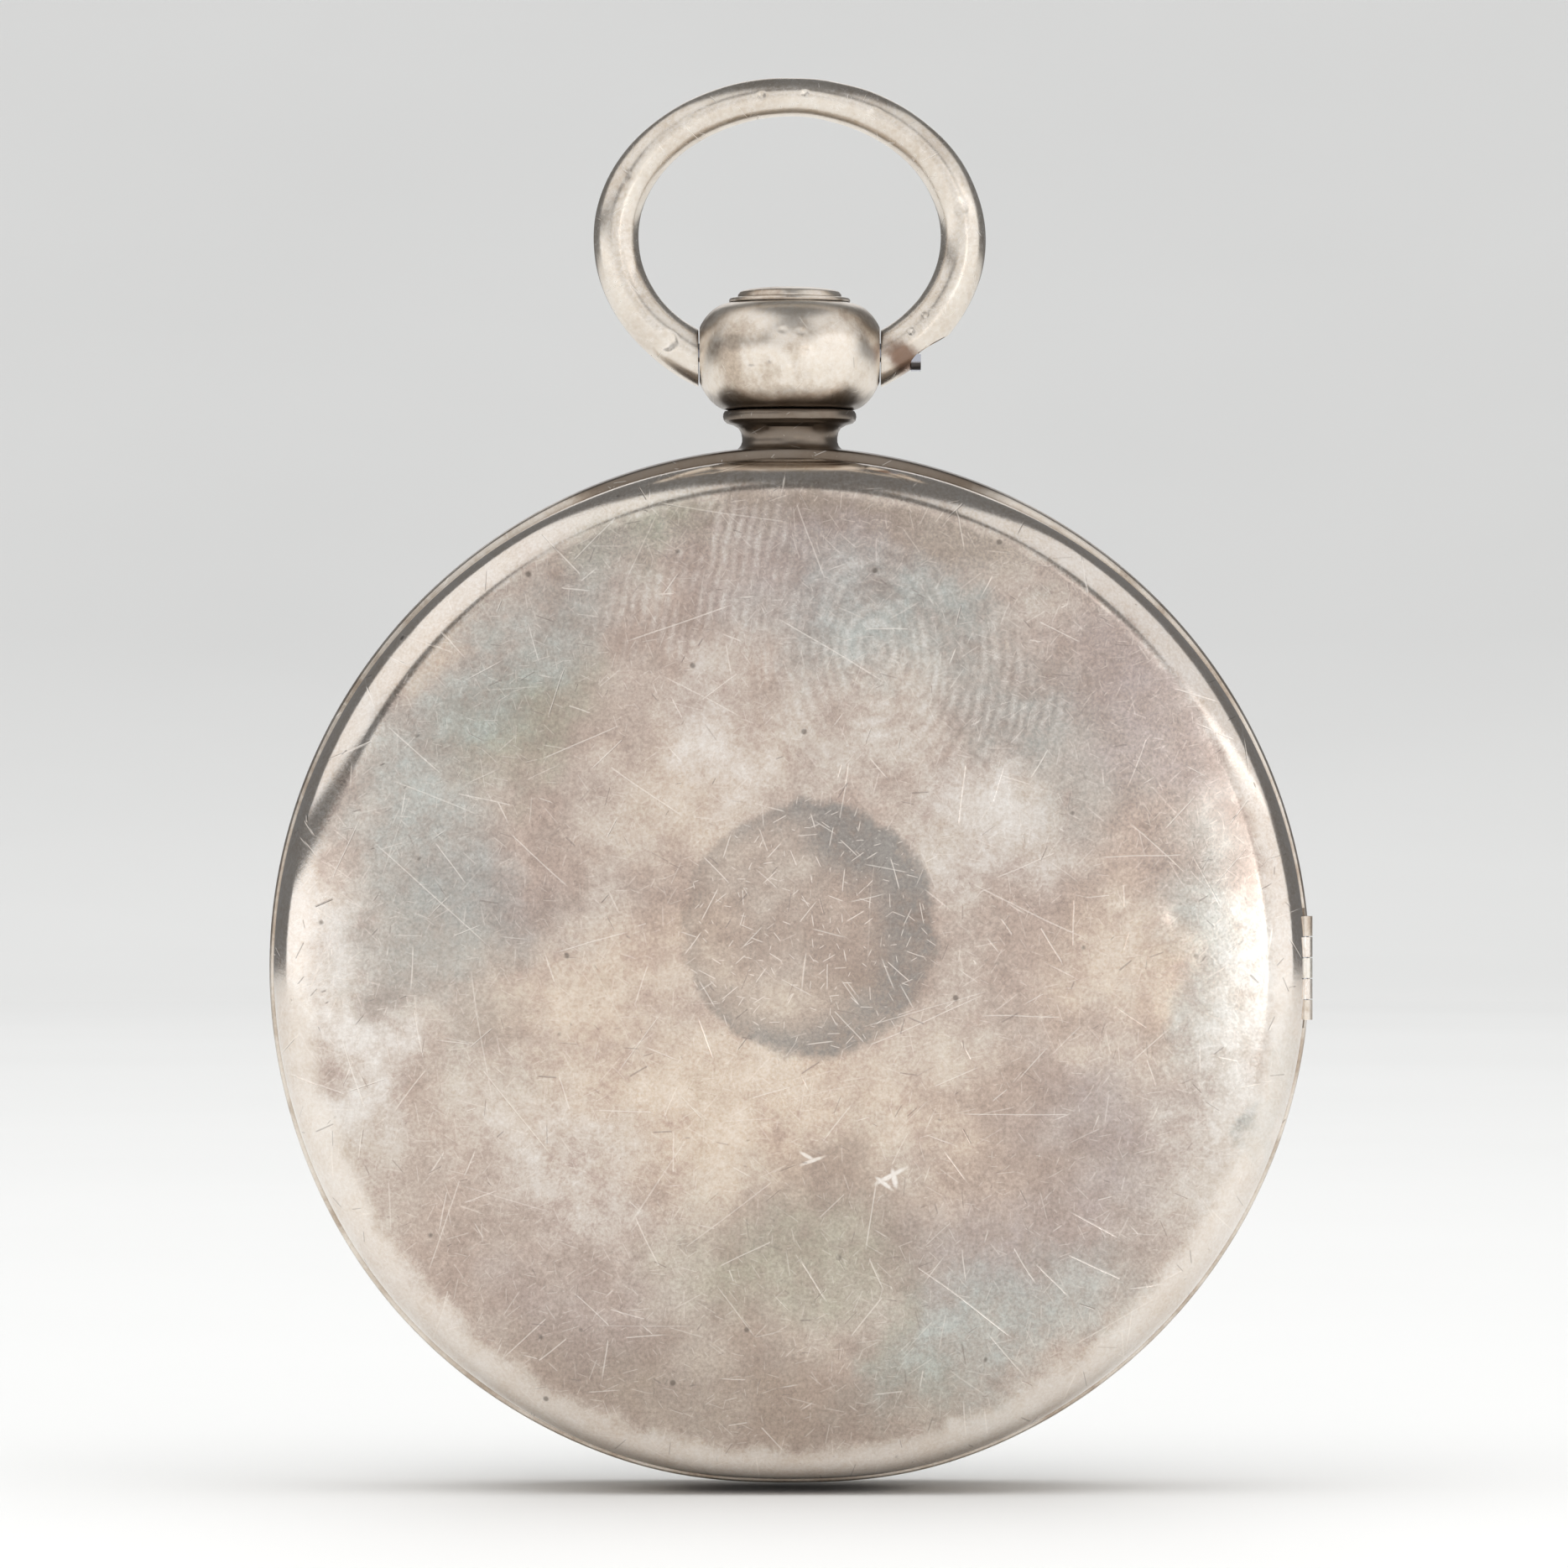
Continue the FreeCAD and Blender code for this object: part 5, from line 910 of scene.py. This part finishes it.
# ------------------------------------------------------------------ camera, light and floor
def area_light(name, at, aim, wide, tall, power):
    """Soft panel that faces a point and is not seen by the camera."""
    data = bpy.data.lights.new(name, "AREA")
    data.shape, data.size, data.size_y, data.energy = "RECTANGLE", wide, tall, power
    lamp = bpy.data.objects.new(name, data)
    bpy.context.scene.collection.objects.link(lamp)
    lamp.location = at
    lamp.rotation_euler = (aim - at).to_track_quat("-Z", "Y").to_euler()
    lamp.visible_camera = False
    return lamp


def studio():
    """Level camera straight at the back, panels of light around it and a pale room."""
    target = Vector((0.26, 0.0, -30.8)) * MM
    data = bpy.data.cameras.new("camera")
    data.sensor_width, data.lens = 36.0, 36.0 * CAMERA_REACH / VIEW_WIDE
    data.clip_start, data.clip_end = 0.01, 20.0
    camera = bpy.data.objects.new("camera", data)
    bpy.context.scene.collection.objects.link(camera)
    camera.location = target + Vector((0, CAMERA_REACH, 0))
    camera.rotation_euler = (target - camera.location).to_track_quat("-Z", "Y").to_euler()
    bpy.context.scene.camera = camera
    bpy.context.scene.view_settings.view_transform = "Standard"

    middle = Vector((0, 0, -0.037))
    for name, turn, rise, gap, wide, tall, glow in PANELS:
        turn, rise = math.radians(turn), math.radians(rise)
        way = Vector((-math.sin(turn) * math.cos(rise), math.cos(turn) * math.cos(rise), math.sin(rise)))
        area_light(name, middle + way * gap, middle, wide, tall, glow * math.pi * wide * tall)
    sky = area_light("sky", Vector((0.0, 0.0, 1.6)), Vector((0, 0, 0)), 2.6, 2.6, 36.0)
    sky.visible_glossy = False

    world = bpy.data.worlds.new("studio")
    bpy.context.scene.world = world
    world.use_nodes = True
    room = world.node_tree.nodes["Background"]
    room.inputs[0].default_value, room.inputs[1].default_value = (0.90, 0.91, 0.92, 1.0), 0.22
    bowl()


PANELS = (  # name, degrees right of and above the camera, distance, width, height, radiance
    ("front", 0, 0, 0.90, 0.60, 0.50, 0.82),
    ("front_high", 0, 28, 0.92, 0.66, 0.36, 0.85),
    ("left", -54, -6, 0.70, 1.04, 0.40, 1.05),
    ("left_spot", -17.5, -9, 0.80, 0.05, 0.17, 4.6),
    ("right", 54, 8, 0.70, 1.04, 0.40, 0.95),
    ("right_spot", 20, -4, 0.80, 0.06, 0.30, 2.2),
    ("upper_left", -66, 45, 0.75, 0.95, 0.72, 0.85),
    ("upper_right", 68, 42, 0.75, 0.85, 0.65, 0.72),
    ("behind", 180, 25, 1.10, 0.60, 0.50, 0.9),
)


def bowl():
    """Pale floor that sweeps up all round into a wall. Only the floor shows in reflections."""
    low, flat, sweep = FLOOR_Z, 0.9, 0.8
    rings = [(0.25 * i * flat, low) for i in range(5)]
    rings += [(flat + sweep * math.sin(a), low + sweep * (1 - math.cos(a)))
              for a in np.linspace(0, math.pi / 2, 25)[1:]] + [(flat + sweep, 2.6)]
    for name, part in (("floor", rings[:5]), ("backdrop", rings[4:])):
        count, points, faces = 96, [], []
        for radius, height in part:
            points += [(radius * math.cos(a), radius * math.sin(a), height)
                       for a in np.linspace(0, 2 * math.pi, count, endpoint=False)]
        for ring in range(len(part) - 1):
            faces += [[ring * count + i, ring * count + (i + 1) % count,
                       (ring + 1) * count + (i + 1) % count, (ring + 1) * count + i] for i in range(count)]
        mesh = bpy.data.meshes.new(name)
        mesh.from_pydata(points, [], faces)
        mesh.polygons.foreach_set("use_smooth", [True] * len(mesh.polygons))
        mesh.materials.append(PAINT)
        thing = bpy.data.objects.new(name, mesh)
        bpy.context.scene.collection.objects.link(thing)
        if name == "backdrop":
            thing.visible_glossy = thing.visible_shadow = thing.visible_diffuse = False


PAINT = floor_paint()
studio()
